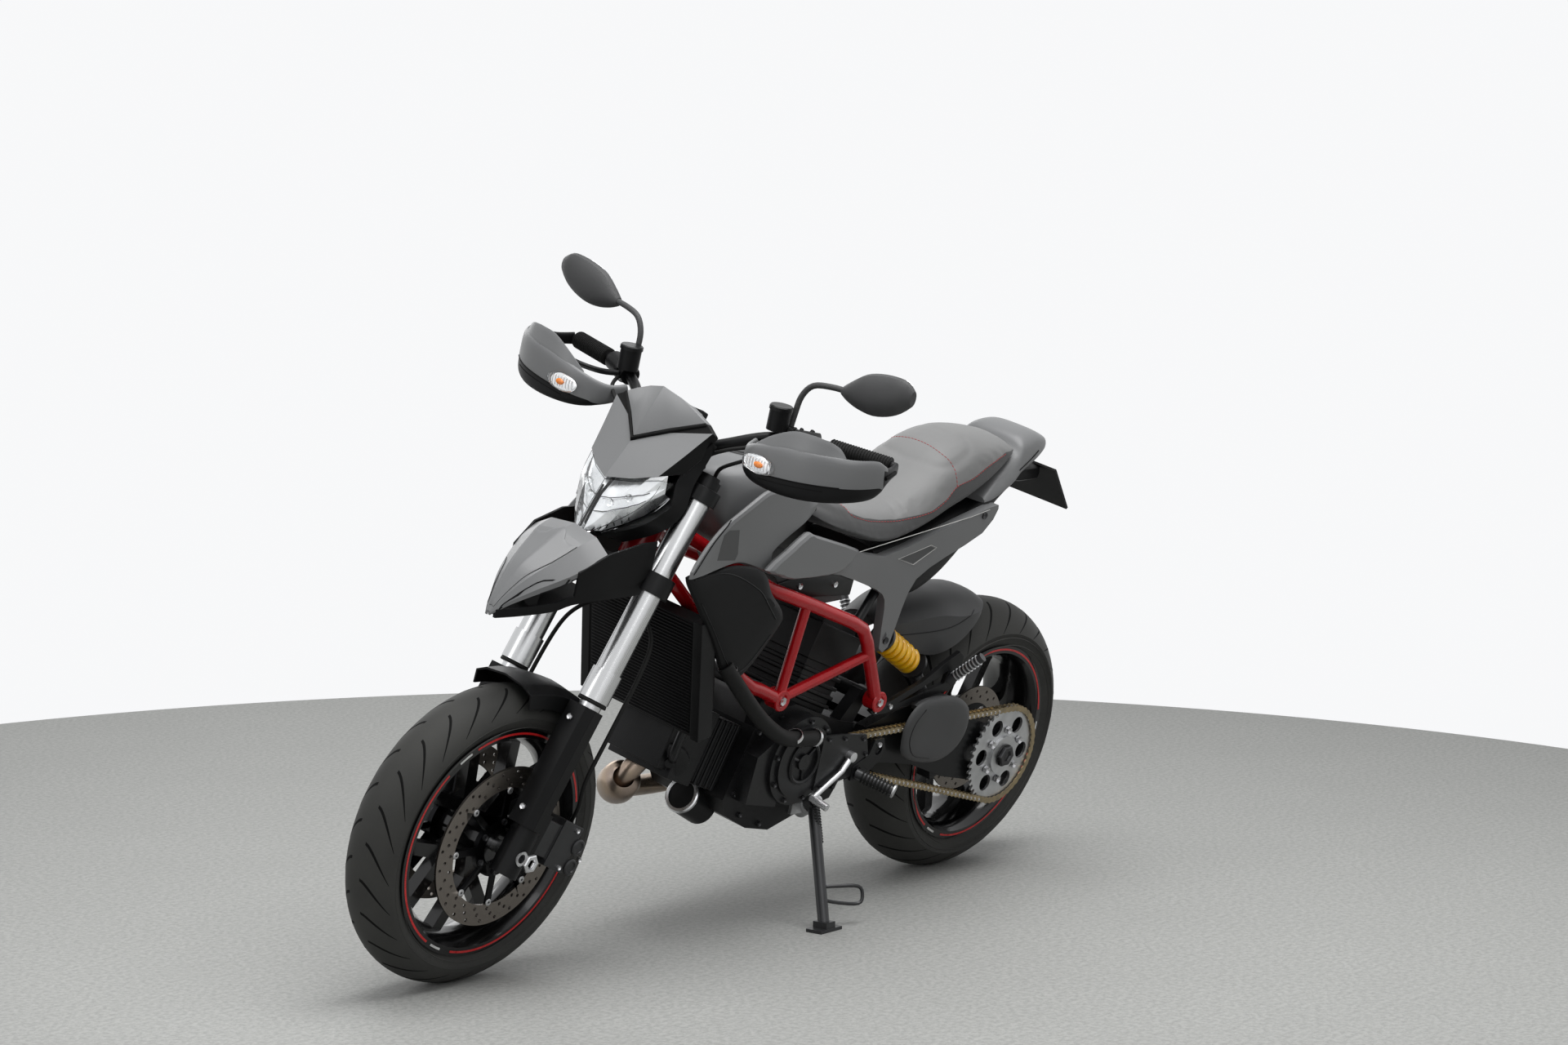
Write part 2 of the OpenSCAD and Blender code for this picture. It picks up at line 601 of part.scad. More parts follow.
// waisted row of link plates
module link_row(y0, y1) {
  half = link_h/2;
  waist = 2.4;
  translate([rear_x, y1, rear_r]) rotate([90, -chain_tilt, 0]) linear_extrude(y1 - y0) difference() {
    polygon([for (i = [0:2*links - 1]) loop_at(i*loop_len/links/2, i%2 == 0 ? half : half - waist)]);
    polygon([for (i = [0:2*links - 1]) loop_at(i*loop_len/links/2, i%2 == 0 ? -half : waist - half)]);
  }
}
chain_half = plate_gap + plate_t;
module chain() {
  color("#a8843c") {
    link_row(chain_y - chain_half, chain_y - plate_gap);
    link_row(chain_y + plate_gap, chain_y + chain_half);
    translate([rear_x, chain_y + plate_gap + 1, rear_r]) rotate([90, -chain_tilt, 0])
      for (i = [0:links - 1]) let (p = loop_at(i*loop_len/links, 0))
        if (norm(p) > sprocket_r + 14) translate([p[0], p[1], 0]) cylinder(r = 4, h = 2*plate_gap + 2);
  }
}
module drive_sprocket() {
  color("#8f9296") {
    cross_pin(drive_x, drive_z, chain_y - 4, chain_y + 4, drive_r - 8.6);
    cross_pin(drive_x, drive_z, case_half, chain_y + 10, 14);
  }
}
shock_top = [-306, 72, 612];
shock_low = [-446, 72, 534];
module shock() {
  color("#26282b") {
    rod(shock_top, shock_low, 14);
    rod(shock_top, shock_top + 0.05*(shock_low - shock_top), 30);
    rod(shock_low, shock_low + 0.05*(shock_top - shock_low), 32);
    rod(shock_low, [-462, 104, 466], 14);
    rod(shock_top, [-240, 116, 640], 12);
  }
}
coils = 6;
spring_r = 24;
wire_r = 7.6;
module shock_spring() {
  d = shock_low - shock_top;
  axis = unit(d);
  a = unit(cross([0, 1, 0], axis));
  b = cross(axis, a);
  steps = 16*coils;
  path = [for (i = [0:steps]) shock_top + d*(0.1 + 0.8*i/steps)
    + spring_r*(cos(360*coils*i/steps)*a + sin(360*coils*i/steps)*b)];
  color("#c79a1e") bent_bar(path, wire_r, axis, 8);
}
module exhaust_pipe() {
  color("#7d6a55") {
    bent_bar(smooth([[276, -20, 384], [300, -26, 356], [304, -42, 328], [278, -74, 300],
      [220, -case_half - 4, 276],
      [90, -case_half - 30, 254], [-60, -case_half - 40, 250], [-180, -case_half - 44, 266],
      [-262, -case_half - 46, 300]], 4), 22, [0, 1, 0], 16);
    bent_bar(smooth([[-186, -40, 640], [-214, -70, 604], [-218, -96, 540], [-204, -case_half - 20, 470],
      [-206, -case_half - 24, 400], [-226, -case_half - 28, 340], [-258, -case_half - 42, 304]],
        4), 19, [0, 1, 0], 16);
  }
}
module silencer() {
  color("#2f3133") skin([for (s = smooth([[-250, -146, 300, 26, 30], [-300, -152, 318, 40, 52],
    [-400, -160, 346, 46, 66], [-520, -168, 382, 48, 70], [-640, -174, 420, 46, 64],
      [-672, -174, 430, 38, 52]], 3))
    [for (k = [0:19]) [s[0], s[1] + s[3]*swell(cos(18*k), 2.6), s[2] + s[4]*swell(sin(18*k), 2.6)]]]);
}
peg_root = [-205, 160, 351];
peg_tip = [-241, 236, 336];
module footpegs() {
  color("#8f9296") both() {
    rod(peg_root + [2, -1, 1], peg_tip, peg_r);
    rod([-494, 137, 516], [-512, 196, 590], 10);
  }
}
// rider's plate on the swingarm pivot, passenger's strut behind it
module hangers() {
  color("#1d1e20") both() {
    difference() {
      union() {
        side_plate(152, 159) polygon([[-246, 420], [-276, 420], [-286, 396], [-274, 368], [-218, 332],
          [-188, 336],
          [-186, 366], [-234, 388]]);
        cross_pin(pivot.x, pivot.z, arm_out, 153, 23);
      }
      cross_pin(pivot.x, pivot.z, arm_out - 1, 165, pivot_bore);
    }
    difference() {
      side_plate(126, 137) polygon([[-236, 476], [-252, 466], [-290, 466], [-436, 488], [-506, 492],
        [-522, 506],
        [-530, 568], [-514, 580], [-470, 560], [-400, 524], [-300, 492], [-252, 488]]);
      side_plate(120, 140) polygon([[-326, 484], [-430, 502], [-480, 512], [-486, 540], [-440, 524]]);
    }
  }
}
module foot_levers() {
  color("#8f9296") {
    rod([-166, 164, 396], [-140, 166, 366], 7);
    rod([-140, 166, 366], [-58, 168, 320], 6);
    rod([-60, 164, 320], [-64, 206, 312], 8);
    cross_pin(-166, 396, 157, 171, 11);
    rod([-198, -165, 352], [-70, -172, 320], 6);
    rod([-72, -166, 320], [-66, -208, 314], 8);
    cross_pin(-198, 352, -171, -159, 10);
  }
}
module rear_caliper() {
  color("#4a4c50") rear_hub() difference() {
    union() {
      rotate([0, 0, 18]) translate([92, -26, 26]) cube([64, 52, 44]);
      rotate([0, 0, 18]) translate([50, -16, 66]) cube([70, 32, 14]);
    }
    translate([0, 0, rear_disc_y - disc_t/2 - 5.5]) cylinder(r = rear_disc_r + 5.5, h = disc_t + 11);
  }
}

// steering
module leg_frame() {
  steer_frame() translate([fork_u, leg_y, 0]) children();
}
module fork_legs() {
  color("#b9bcc0") both() leg_frame() {
    translate([0, 0, 640]) cylinder(r = outer_r, h = 470);
    translate([0, 0, 640]) cylinder(r = outer_r + 4, h = 60);
    translate([0, 0, 400]) cylinder(r = inner_r, h = 245);
    translate([0, 0, 1108]) cylinder(r = outer_r - 5, h = 10);
    difference() {
      union() {
        translate([0, 0, axle_w - 42]) cylinder(r = 28, h = 150);
        translate([-40, -14, axle_w + 10]) cube([24, 28, 86]);
      }
      translate([0, -40, axle_w]) rotate([-90, 0, 0]) cylinder(r = axle_r + 2.5, h = 80);
    }
  }
}
module yoke(w, h, r) {
  translate([0, 0, w]) difference() {
    union() {
      for (s = [-1, 1]) translate([fork_u, s*leg_y, 0]) cylinder(r = r, h = h);
      linear_extrude(h) polygon([[fork_u + 22, -leg_y], [fork_u + 30, 0], [fork_u + 22, leg_y],
        [fork_u - 26, leg_y], [-34, 30], [-40, 0], [-34, -30], [fork_u - 26, -leg_y]]);
    }
    for (s = [-1, 1]) translate([fork_u, s*leg_y, -1]) cylinder(r = outer_r, h = h + 2);
  }
}
module yokes() {
  color("#232426") steer_frame() {
    yoke(866, 40, 36);
    yoke(1062, 30, 35);
    translate([0, 0, 868]) cylinder(r = stem_bore - run, h = 200);
    translate([0, 0, 1092]) cylinder(r = 20, h = 8, $fn = 6);
    for (s = [-1, 1]) translate([8, s*32 - 14, 1090]) cube([34, 28, 44]);
  }
}
bar_end = [263, 418, 1134];
bar_line = [[406, -10, 1062], [403, 40, 1064], [392, 96, 1082], [352, 172, 1120], [320, 240, 1134],
  [290, 330, 1135],
  bar_end];
module handlebar() {
  color("#1b1c1e") both() bent_bar(smooth(bar_line, 4), bar_r, [0, 0, 1], 14);
}
grip_in = [303, 292, 1135];
grip_out = [266, 410, 1134.2];
module grips() {
  color("#151516") both() rod(grip_in, grip_out, grip_r);
}
module controls() {
  color("#1e1f21") both() {
    rod([340, 196, 1128], [312, 268, 1136], 20);
    bent_bar(smooth([[352, 214, 1128], [366, 250, 1122], [344, 330, 1112], [318, 400, 1108]], 4), 6);
    translate([352, 196, 1142]) cylinder(r = 21, h = 42);
  }
}
guard_line = [[268, 424, 1134, 13, 5], [312, 441, 1130, 14, 6], [348, 445, 1125, 36, 6], [404, 428, 1119, 41, 7],
  [446, 372, 1112, 46, 7], [456, 300, 1104, 45, 7], [446, 226, 1096, 34, 7], [410, 184, 1096, 20, 6], [372, 170, 1106, 14, 6]];
module handguards() {
  color("#3a3b3d") both() {
    line = smooth(guard_line, 3);
    path = [for (s = line) [s[0], s[1], s[2]]];
    skin([
      for (i = [0:len(path) - 1]) let (t = tangent(path, i), a = unit(cross([0, 0, 1], t)), b = cross(t, a))
        [for (k = [0:11]) path[i] + line[i][4]*swell(cos(30*k), 3)*a + line[i][3]*swell(sin(30*k), 3)*b]
    ]);
  }
}
module indicators() {
  color("#d8d2c8") both() skin([for (s = [[456, 18], [465, 24], [470, 20], [473, 9]])
    [for (k = [0:15]) [s[0], 258 + 1.7*s[1]*cos(22.5*k), 1101 + 0.75*s[1]*sin(22.5*k)]]]);
}
module mirrors() {
  color("#1c1d1f") both() {
    bent_bar(smooth([[326, 206, 1140], [322, 207, 1176], [318, 211, 1212], [314, 230, 1238],
      [308, 268, 1247], [304, 312, 1250]], 4),
      6, [1, 0, 0]);
    skin([for (s = smooth([[294, 9, 9, 1248], [312, 15, 21, 1252], [340, 20, 35, 1259],
      [372, 22, 41, 1264], [406, 21, 39, 1271], [434, 18, 31, 1278], [454, 9, 15, 1281]], 3))
      [for (k = [0:15]) [304 + s[1]*cos(22.5*k), s[0], s[3] + s[2]*sin(22.5*k)]]]);
  }
}
// half ring from the middle, mirrored to a closed ring
function mirrored(h) = [for (p = h) p, for (i = [len(h) - 2:-1:1]) [h[i].x, -h[i].y, h[i].z]];
module nose() {
  color("#4b4c4e") skin([
    for (h = [
      [[585, 0, 1000], [562, 46, 1009], [535, 88, 1025], [482, 104, 1031], [440, 60, 1012], [440, 0, 1002]],
      [[559, 0, 1032], [528, 48, 1051], [494, 106, 1068], [452, 114, 1062], [426, 70, 1044], [426, 0, 1040]],
      [[531, 0, 1067], [489, 50, 1097], [450, 126, 1117], [428, 124, 1106], [412, 80, 1088], [412, 0, 1080]],
      [[524, 0, 1077], [484, 50, 1105], [447, 103, 1130], [428, 101, 1124], [410, 70, 1115],
        [408, 0, 1110]],
      [[466, 0, 1172], [455, 40, 1160], [443, 82, 1142], [432, 80, 1136], [424, 50, 1142], [434, 0, 1152]]])
      mirrored(h)
  ]);
}
module headlamp() {
  color("#cfd3d6") skin([
    for (h = smooth_rings([
      [[636, 0, 896], [630, 10, 897], [618, 22, 900], [590, 24, 896], [582, 0, 892]],
      [[621, 0, 928], [607, 31, 932], [577, 65, 942], [540, 66, 930], [530, 0, 924]],
      [[602, 0, 964], [586, 44, 968], [546, 90, 981], [506, 92, 970], [492, 0, 958]],
      [[582, 0, 996], [560, 46, 1004], [526, 94, 1018], [486, 106, 1010], [462, 0, 990]]], 3))
      mirrored(h)
  ]);
}
module lamp_shell() {
  color("#1c1d1f") skin([
    for (h = smooth_rings([
      [[590, 0, 884], [585, 14, 886], [570, 30, 890], [540, 40, 880], [530, 0, 872]],
      [[566, 0, 912], [562, 50, 918], [548, 92, 934], [500, 98, 916], [496, 0, 906]],
      [[505, 0, 952], [504, 70, 956], [510, 112, 972], [470, 116, 960], [462, 0, 950]],
      [[468, 0, 990], [466, 60, 992], [502, 104, 1011], [462, 114, 1004], [446, 0, 988]],
      [[440, 0, 1040], [442, 60, 1042], [471, 99, 1046], [446, 118, 1042], [430, 0, 1040]],
      [[422, 0, 1088], [425, 80, 1090], [444, 127, 1098], [428, 125, 1090], [416, 0, 1084]]], 2))
      mirrored(h)
  ]);
}
// blends a row of equal rings
function smooth_rings(rings, n) = let (m = len(rings)) [
  for (i = [0:m - 2]) for (k = [0:n - 1]) [
    for (j = [0:len(rings[0]) - 1])
      spline(rings[max(i - 1, 0)][j], rings[i][j], rings[i + 1][j], rings[min(i + 2, m - 1)][j], k/n)],
  rings[m - 1]
];
lip_line = [[536, 104, 804], [590, 101, 802], [640, 97, 800], [703, 84, 792], [733, 68, 776],
  [786, 38, 762], [822, 10, 752]];
beak_t = 5;
module beak() {
  color("#4b4c4e") folded_sheet([[640, 912, 96, 880, 868], [674, 902, 91, 864, 852],
    [701, 884, 84, 846, 834],
    [737, 860, 68, 826, 814], [771, 834, 49, 806, 796], [806, 793, 24, 778, 771],
      [829, 757, 6, 753, 749]], 3, beak_t);
}
module beak_sides() {
  color("#1e1f20") {
    both() {
      line = smooth(lip_line, 3);
      skin([for (p = line) let (h = p.x > 690 ? 9 : 9 + (690 - p.x)*0.32)
        [[p.x, p.y + 3, p.z - 7], [p.x, p.y + 3, p.z + h], [p.x, p.y - 3, p.z + h],
          [p.x, p.y - 3, p.z - 7]]]);
      skin([for (q = [[524, 108, 836, 902], [560, 108, 822, 902], [640, 100, 808, 884],
        [700, 86, 800, 848]])
        [[q[0], q[1] + 2, q[2]], [q[0], q[1] + 2, q[3]], [q[0], q[1] - 3, q[3]], [q[0], q[1] - 3, q[2]]]]);
    }
    skin([for (q = [[640, 100, 800], [700, 84, 790], [770, 50, 768], [822, 8, 752]])
      [[q[0], q[1], q[2] - 2], [q[0], q[1], q[2] + 2], [q[0], -q[1], q[2] + 2], [q[0], -q[1], q[2] - 2]]]);
  }
}
// room between the front tyre and its mudguard
guard_gap = 18;
module front_mudguard() {
  color("#1e1f20") {
    arch_r = front_r + guard_gap;
    arch = [for (a = [54:6:90]) [front_x - arch_r*cos(a), front_r + arch_r*sin(a), a]];
    skin([for (q = arch) let (x = q[0], z = q[1], c = cos(q[2]), n = sin(q[2]))
      [for (k = [[-76, -40], [-74, -12], [-50, 0], [0, 6], [50, 0], [74, -12], [76, -40],
        [72, -40], [70, -14], [48, -4], [0, 2], [-48, -4], [-70, -14], [-72, -40]])
        [x - k[1]*c, k[0], z + k[1]*n]]], true);
    both() leg_frame() {
      translate([0, 0, 372]) linear_extrude(250)
        polygon([[-10, 30], [20, 34], [38, 22], [42, 0], [38, -20], [24, -29], [0, -29], [0, -25.5],
          [20, -26], [34, -17], [38, 0], [34, 18], [18, 30], [-10, 26]]);
      translate([-26, -31, 520]) cube([52, 6, 60]);
    }
  }
}
axle_half = 130;
module front_axle() {
  color("#9a9da1") front_hub() difference() {
    union() {
      translate([0, 0, -axle_half]) cylinder(r = axle_r, h = 2*axle_half);
      for (s = [0, 1]) mirror([0, 0, s]) translate([0, 0, 62 + 12]) cylinder(r = axle_r + 2.5,
        h = axle_half - 74);
    }
    translate([0, 0, -axle_half - 1]) cylinder(r = axle_bore, h = 2*axle_half + 2);
  }
}
module front_calipers() {
  color("#a6a9ad") both() difference() {
    leg_frame() {
      translate([-150, -58, axle_w + 6]) cube([62, 68, 96]);
      translate([-100, -18, axle_w + 18]) cube([66, 24, 70]);
    }
    front_hub() translate([0, 0, disc_y - disc_t/2 - 5.5]) cylinder(r = disc_r + 5, h = disc_t + 11);
  }
}
module brake_hoses() {
  color("#161617") steer_frame() {
    both() bent_bar(smooth([[-34, 16, 858], [-52, 40, 836], [-50, 92, 800], [-42, 116, 740],
      [-40, 120, 600],
      [-44, 118, 500], [-80, 104, 450], [-104, 86, 424], [-108, 82, 412]], 4), 4.5, [1, 0, 0], 10);
  }
}
module dash() {
  color("#1c1d1f") {
    translate([420, -62, 1072]) rotate([0, -24, 0]) cube([22, 124, 66]);
    translate([408, -20, 1000]) cube([60, 40, 60]);
  }
}

// side stand
stand_pivot = [-114, case_half + 28, 288];
foot_x = datum.x - 50;
foot_y = 285;
foot_t = 7;
folded_way = [-0.92, 0.39, 0.05];
eye_half = 11;
eye_r = 17;
pin_r = 7;
pin_gap = 3;
stand_top = unpark([foot_x, foot_y, foot_t]);
stand_way = unit(stand_top - stand_pivot);
stand_axis = unit(cross(stand_way, folded_way));
module side_stand() {
  color("#3c3d40") {
    difference() {
      union() {
        rod(stand_pivot, stand_top, stand_r);
        rod(stand_pivot - eye_half*stand_axis, stand_pivot + eye_half*stand_axis, eye_r);
      }
      rod(stand_pivot - 2*eye_half*stand_axis, stand_pivot + 2*eye_half*stand_axis, pin_r + run);
    }
    unparked() translate([foot_x, foot_y, 0]) {
      translate([-34, -20, 0]) cube([68, 40, foot_t]);
      translate([-14, -18, 0]) cube([28, 36, 20]);
    }
    bent_bar(smooth([stand_pivot + 178*stand_way, stand_pivot + 177*stand_way + [-32, 20, 4],
      stand_pivot + 177*stand_way + [-72, 42, 6], stand_pivot + 187*stand_way + [-82, 46, -2],
      stand_pivot + 201*stand_way + [-76, 40, -8], stand_pivot + 203*stand_way + [-32, 18, -6],
      stand_pivot + 204*stand_way], 4), 4, stand_axis, 8);
  }
}
module stand_bracket() {
  color("#2c2d30") {
    rod(stand_pivot - 60*stand_axis, stand_pivot - (eye_half + pin_gap)*stand_axis, 18);
    rod(stand_pivot - 30*stand_axis, stand_pivot + (eye_half + 8)*stand_axis, pin_r);
    rod(stand_pivot + (eye_half + pin_gap)*stand_axis, stand_pivot + (eye_half + 9)*stand_axis, 12);
    translate([-160, case_half - 24, 258]) cube([86, 32, 40]);
  }
}

parked() {
  frame();
  crankcase();
  cylinders();
  engine_covers();
  radiator();
  coolant_hose();
  tank();
  airbox();
  shrouds();
  lower_shrouds();
  seat();
  tail_panels();
  tail_unit();
  under_tail();
  tail_light();
  plate_holder();
  swingarm();
  rear_guards();
  chain();
  drive_sprocket();
  shock();
  shock_spring();
  exhaust_pipe();
  silencer();
  footpegs();
  hangers();
  foot_levers();
  rear_caliper();
  fork_legs();
  yokes();
  handlebar();
  grips();
  controls();
  handguards();
  indicators();
  mirrors();
  nose();
  headlamp();
  lamp_shell();
  beak();
  beak_sides();
  front_mudguard();
  front_axle();
  front_calipers();
  brake_hoses();
  dash();
  front_tyre();
  front_rim();
  front_discs();
  rear_tyre();
  rear_rim();
  rear_disc();
  sprocket();
  side_stand();
  stand_bracket();
}
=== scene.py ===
import json
import math
import bpy
import bmesh
from mathutils import Matrix, Vector
from mathutils.bvhtree import BVHTree
from mathutils.kdtree import KDTree


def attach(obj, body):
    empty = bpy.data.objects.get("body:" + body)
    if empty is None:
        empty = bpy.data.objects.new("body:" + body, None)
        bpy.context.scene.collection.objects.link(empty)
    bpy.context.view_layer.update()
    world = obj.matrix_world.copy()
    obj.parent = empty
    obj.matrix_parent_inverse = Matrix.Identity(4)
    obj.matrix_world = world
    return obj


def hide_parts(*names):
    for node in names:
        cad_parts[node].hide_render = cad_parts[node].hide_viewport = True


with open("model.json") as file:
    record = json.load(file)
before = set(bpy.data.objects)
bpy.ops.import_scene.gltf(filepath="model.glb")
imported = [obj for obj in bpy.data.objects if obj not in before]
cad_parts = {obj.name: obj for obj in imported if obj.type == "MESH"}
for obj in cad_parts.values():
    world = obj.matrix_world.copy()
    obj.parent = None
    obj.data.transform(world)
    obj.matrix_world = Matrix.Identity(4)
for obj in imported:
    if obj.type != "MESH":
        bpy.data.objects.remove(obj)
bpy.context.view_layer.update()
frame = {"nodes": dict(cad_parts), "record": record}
nodes = frame["nodes"]
scene = bpy.context.scene
print("loaded", len(nodes), "solids")

# the machine leans on its stand; pieces are drawn upright in millimetres and then stood like the solids
stance = {"lean": 15.0, "lift": 2.6745, "pitch": 0.04297, "millimetre": 0.001}
leanTurn = Matrix.Rotation(math.radians(-stance["lean"]), 4, "X")
pitchTurn = Matrix.Rotation(math.radians(stance["pitch"]), 4, "Y")
stood = (Matrix.Translation((0, 0, stance["lift"] * stance["millimetre"])) @ pitchTurn @ leanTurn
         @ Matrix.Scale(stance["millimetre"], 4))
upright = stood.inverted()
steerAxis = {"groundX": 854.0, "rake": 25.5}
steerFrame = (Matrix.Translation((steerAxis["groundX"], 0, 0))
              @ Matrix.Rotation(math.radians(-steerAxis["rake"]), 4, "Y"))
frontHub = Vector((750, 0, 300))
rearHub = Vector((-750, 0, 316))


def stoodWay(way):  # a direction of the upright machine as it stands
    return (stood.to_3x3() @ Vector(way)).normalized()


def uprightWay(way):
    return (upright.to_3x3() @ way).normalized()


def forkPoint(u, v, w):  # a place measured along and across the steering axis
    return steerFrame @ Vector((u, v, w))


def forkWay(u, v, w):
    return steerFrame.to_3x3() @ Vector((u, v, w))


def sided(point, side):  # a left-hand place or direction, or its mirror
    return Vector((point[0], side * point[1], point[2]))


def roundPlaces(count, reach, start=0.0):  # offsets of bolts round a circle
    turns = [math.radians(360 / count * k + start) for k in range(count)]
    return [(reach * math.cos(a), reach * math.sin(a)) for a in turns]


# materials
def addNode(tree, kind, inputs=None, **settings):
    node = tree.nodes.new(kind)
    for key, value in settings.items():
        setattr(node, key, value)
    for key, value in (inputs or {}).items():
        if isinstance(value, bpy.types.NodeSocket):
            tree.links.new(value, node.inputs[key])
        else:
            node.inputs[key].default_value = value
    return node


def math2(tree, operation, a, b=0.0, clamp=False):
    return addNode(tree, "ShaderNodeMath", {0: a, 1: b}, operation=operation, use_clamp=clamp).outputs[0]


def blendColor(tree, factor, a, b):
    node = addNode(tree, "ShaderNodeMix", {}, data_type="RGBA")
    for key, value in ((0, factor), (6, a), (7, b)):
        if isinstance(value, bpy.types.NodeSocket):
            tree.links.new(value, node.inputs[key])
        else:
            node.inputs[key].default_value = value
    return node.outputs[2]


def ranged(tree, value, low, high, toLow, toHigh):
    return addNode(tree, "ShaderNodeMapRange", {0: value, 1: low, 2: high, 3: toLow, 4: toHigh}).outputs[0]


# object coordinates turned upright, in millimetres from a centre
def bikeCoords(tree, centre=(0, 0, 0), scale=1000.0):
    source = addNode(tree, "ShaderNodeTexCoord").outputs["Object"]
    lifted = addNode(tree, "ShaderNodeMapping", {"Location": (0, 0, -stance["lift"] * 0.001)})
    tree.links.new(source, lifted.inputs["Vector"])
    turned = addNode(tree, "ShaderNodeMapping", {
        "Rotation": (math.radians(stance["lean"]), 0, 0), "Scale": (scale, scale, scale),
        "Location": tuple(-c * scale / 1000 for c in centre)})
    tree.links.new(lifted.outputs[0], turned.inputs["Vector"])
    return turned.outputs[0]


def startMaterial(name, color, rough, metallic=0.0, **sockets):
    material = bpy.data.materials.new(name)
    material.use_nodes = True
    tree = material.node_tree
    shader = tree.nodes["Principled BSDF"]
    shader.inputs["Base Color"].default_value = (*color, 1)
    shader.inputs["Roughness"].default_value = rough
    shader.inputs["Metallic"].default_value = metallic
    for key, value in sockets.items():
        shader.inputs[key.replace("_", " ")].default_value = value
    material.diffuse_color = (*color, 1)
    return material, tree, shader


def noise(tree, vector, scale, detail=3.0, roughness=0.5):
    return addNode(tree, "ShaderNodeTexNoise", {"Vector": vector, "Scale": scale, "Detail": detail,
                                               "Roughness": roughness}).outputs[0]


def bumped(tree, shader, height, strength, distance=0.001):
    bump = addNode(tree, "ShaderNodeBump", {"Height": height, "Strength": strength, "Distance": distance})
    tree.links.new(bump.outputs[0], shader.inputs["Normal"])


def plainFinish(name, look):  # one surface with mottled colour, uneven gloss and a fine grain
    color = look["color"]
    other = look.get("other", tuple(min(1.0, c * 1.3) for c in color))
    sockets = dict(look.get("sockets", {}), Specular_IOR_Level=look.get("specular", 0.5))
    material, tree, shader = startMaterial(name, color, look["rough"], look.get("metallic", 0.0), **sockets)
    vector = bikeCoords(tree, scale=1.0)
    cloud = noise(tree, vector, look.get("cloud", 9.0), 4.0)
    grain = noise(tree, vector, look.get("grain", 900.0), 2.0)
    mottled = blendColor(tree, ranged(tree, cloud, 0.35, 0.7, 0.0, 1.0), (*color, 1), (*other, 1))
    flecked = blendColor(tree, ranged(tree, grain, 0.45, 0.75, 0.0, look.get("fleck", 0.25)), mottled,
                         (*(min(1.0, c * 1.6) for c in color), 1))
    tree.links.new(flecked, shader.inputs["Base Color"])
    gloss = math2(tree, "ADD", ranged(tree, cloud, 0.3, 0.75, look["rough"] - look.get("spread", 0.06),
                                      look["rough"] + look.get("spread", 0.06)),
                  ranged(tree, grain, 0.3, 0.7, -0.03, 0.03))
    tree.links.new(gloss, shader.inputs["Roughness"])
    bumped(tree, shader, grain, look.get("bump", 0.15), look.get("depth", 0.0006))
    return material


def streakFinish(name, look):  # metal with fine marks drawn out along the fork's axis
    material, tree, shader = startMaterial(name, look["color"], look["rough"], 1.0)
    turned = addNode(tree, "ShaderNodeMapping", {"Rotation": (0, math.radians(steerAxis["rake"]), 0)})
    tree.links.new(bikeCoords(tree, scale=1.0), turned.inputs["Vector"])
    along = addNode(tree, "ShaderNodeMapping", {"Scale": look["stretch"]})
    tree.links.new(turned.outputs[0], along.inputs["Vector"])
    streak = noise(tree, along.outputs[0], 1.0, 4.0)
    tree.links.new(blendColor(tree, ranged(tree, streak, 0.3, 0.7, 0.0, 1.0), (*look["color"], 1),
                              (*look["other"], 1)),
                   shader.inputs["Base Color"])
    tree.links.new(ranged(tree, streak, 0.25, 0.75, look["rough"] - 0.03, look["rough"] + 0.04),
                   shader.inputs["Roughness"])
    bumped(tree, shader, streak, 0.006, 0.0001)
    return material


def turnedFinish(name, look):  # disc metal with turning marks round an axle, and its dark carrier inside a radius
    material, tree, shader = startMaterial(name, look["color"], look["rough"], 1.0)
    parts = addNode(tree, "ShaderNodeSeparateXYZ", {0: bikeCoords(tree, look["hub"], 1000.0)})
    reach = addNode(tree, "ShaderNodeVectorMath", {0: addNode(tree, "ShaderNodeCombineXYZ", {
        0: parts.outputs[0], 2: parts.outputs[2]}).outputs[0]}, operation="LENGTH").outputs["Value"]
    rings = addNode(tree, "ShaderNodeTexNoise", {"W": reach, "Scale": 1.6, "Detail": 4.0},
                    noise_dimensions="1D").outputs[0]
    turned = blendColor(tree, ranged(tree, rings, 0.3, 0.7, 0.0, 1.0), (*look["color"], 1), (*look["other"], 1))
    tree.links.new(blendColor(tree, ranged(tree, reach, look["carrier"] - 0.4, look["carrier"] + 0.4, 0.0, 1.0),
                              (0.012, 0.012, 0.013, 1), turned), shader.inputs["Base Color"])
    tree.links.new(ranged(tree, rings, 0.3, 0.7, look["rough"] - 0.07, look["rough"] + 0.07),
                   shader.inputs["Roughness"])
    bumped(tree, shader, rings, 0.1, 0.0003)
    return material


def vinylFinish(name, look):  # seat cover with a pebbled grain, darker below the side seam
    material, tree, shader = startMaterial(name, look["color"], look["rough"], 0.0, Sheen_Weight=0.1)
    vector = bikeCoords(tree, scale=1.0)
    cells = addNode(tree, "ShaderNodeTexVoronoi", {"Vector": vector, "Scale": look["pebble"]}).outputs["Distance"]
    cloud = ranged(tree, noise(tree, vector, 7.0, 4.0), 0.3, 0.7, 0.0, 1.0)
    above = addNode(tree, "ShaderNodeAttribute", attribute_name="seamHeight").outputs["Fac"]
    top = blendColor(tree, cloud, (*look["color"], 1), (*look["other"], 1))
    side = blendColor(tree, cloud, (*look["side"], 1), (*look["sideOther"], 1))
    tree.links.new(blendColor(tree, ranged(tree, above, -0.6, 0.6, 0.0, 1.0), side, top),
                   shader.inputs["Base Color"])
    tree.links.new(ranged(tree, cells, 0.0, 0.6, look["rough"] - 0.08, look["rough"] + 0.1),
                   shader.inputs["Roughness"])
    bumped(tree, shader, cells, 0.28, 0.0005)
    return material


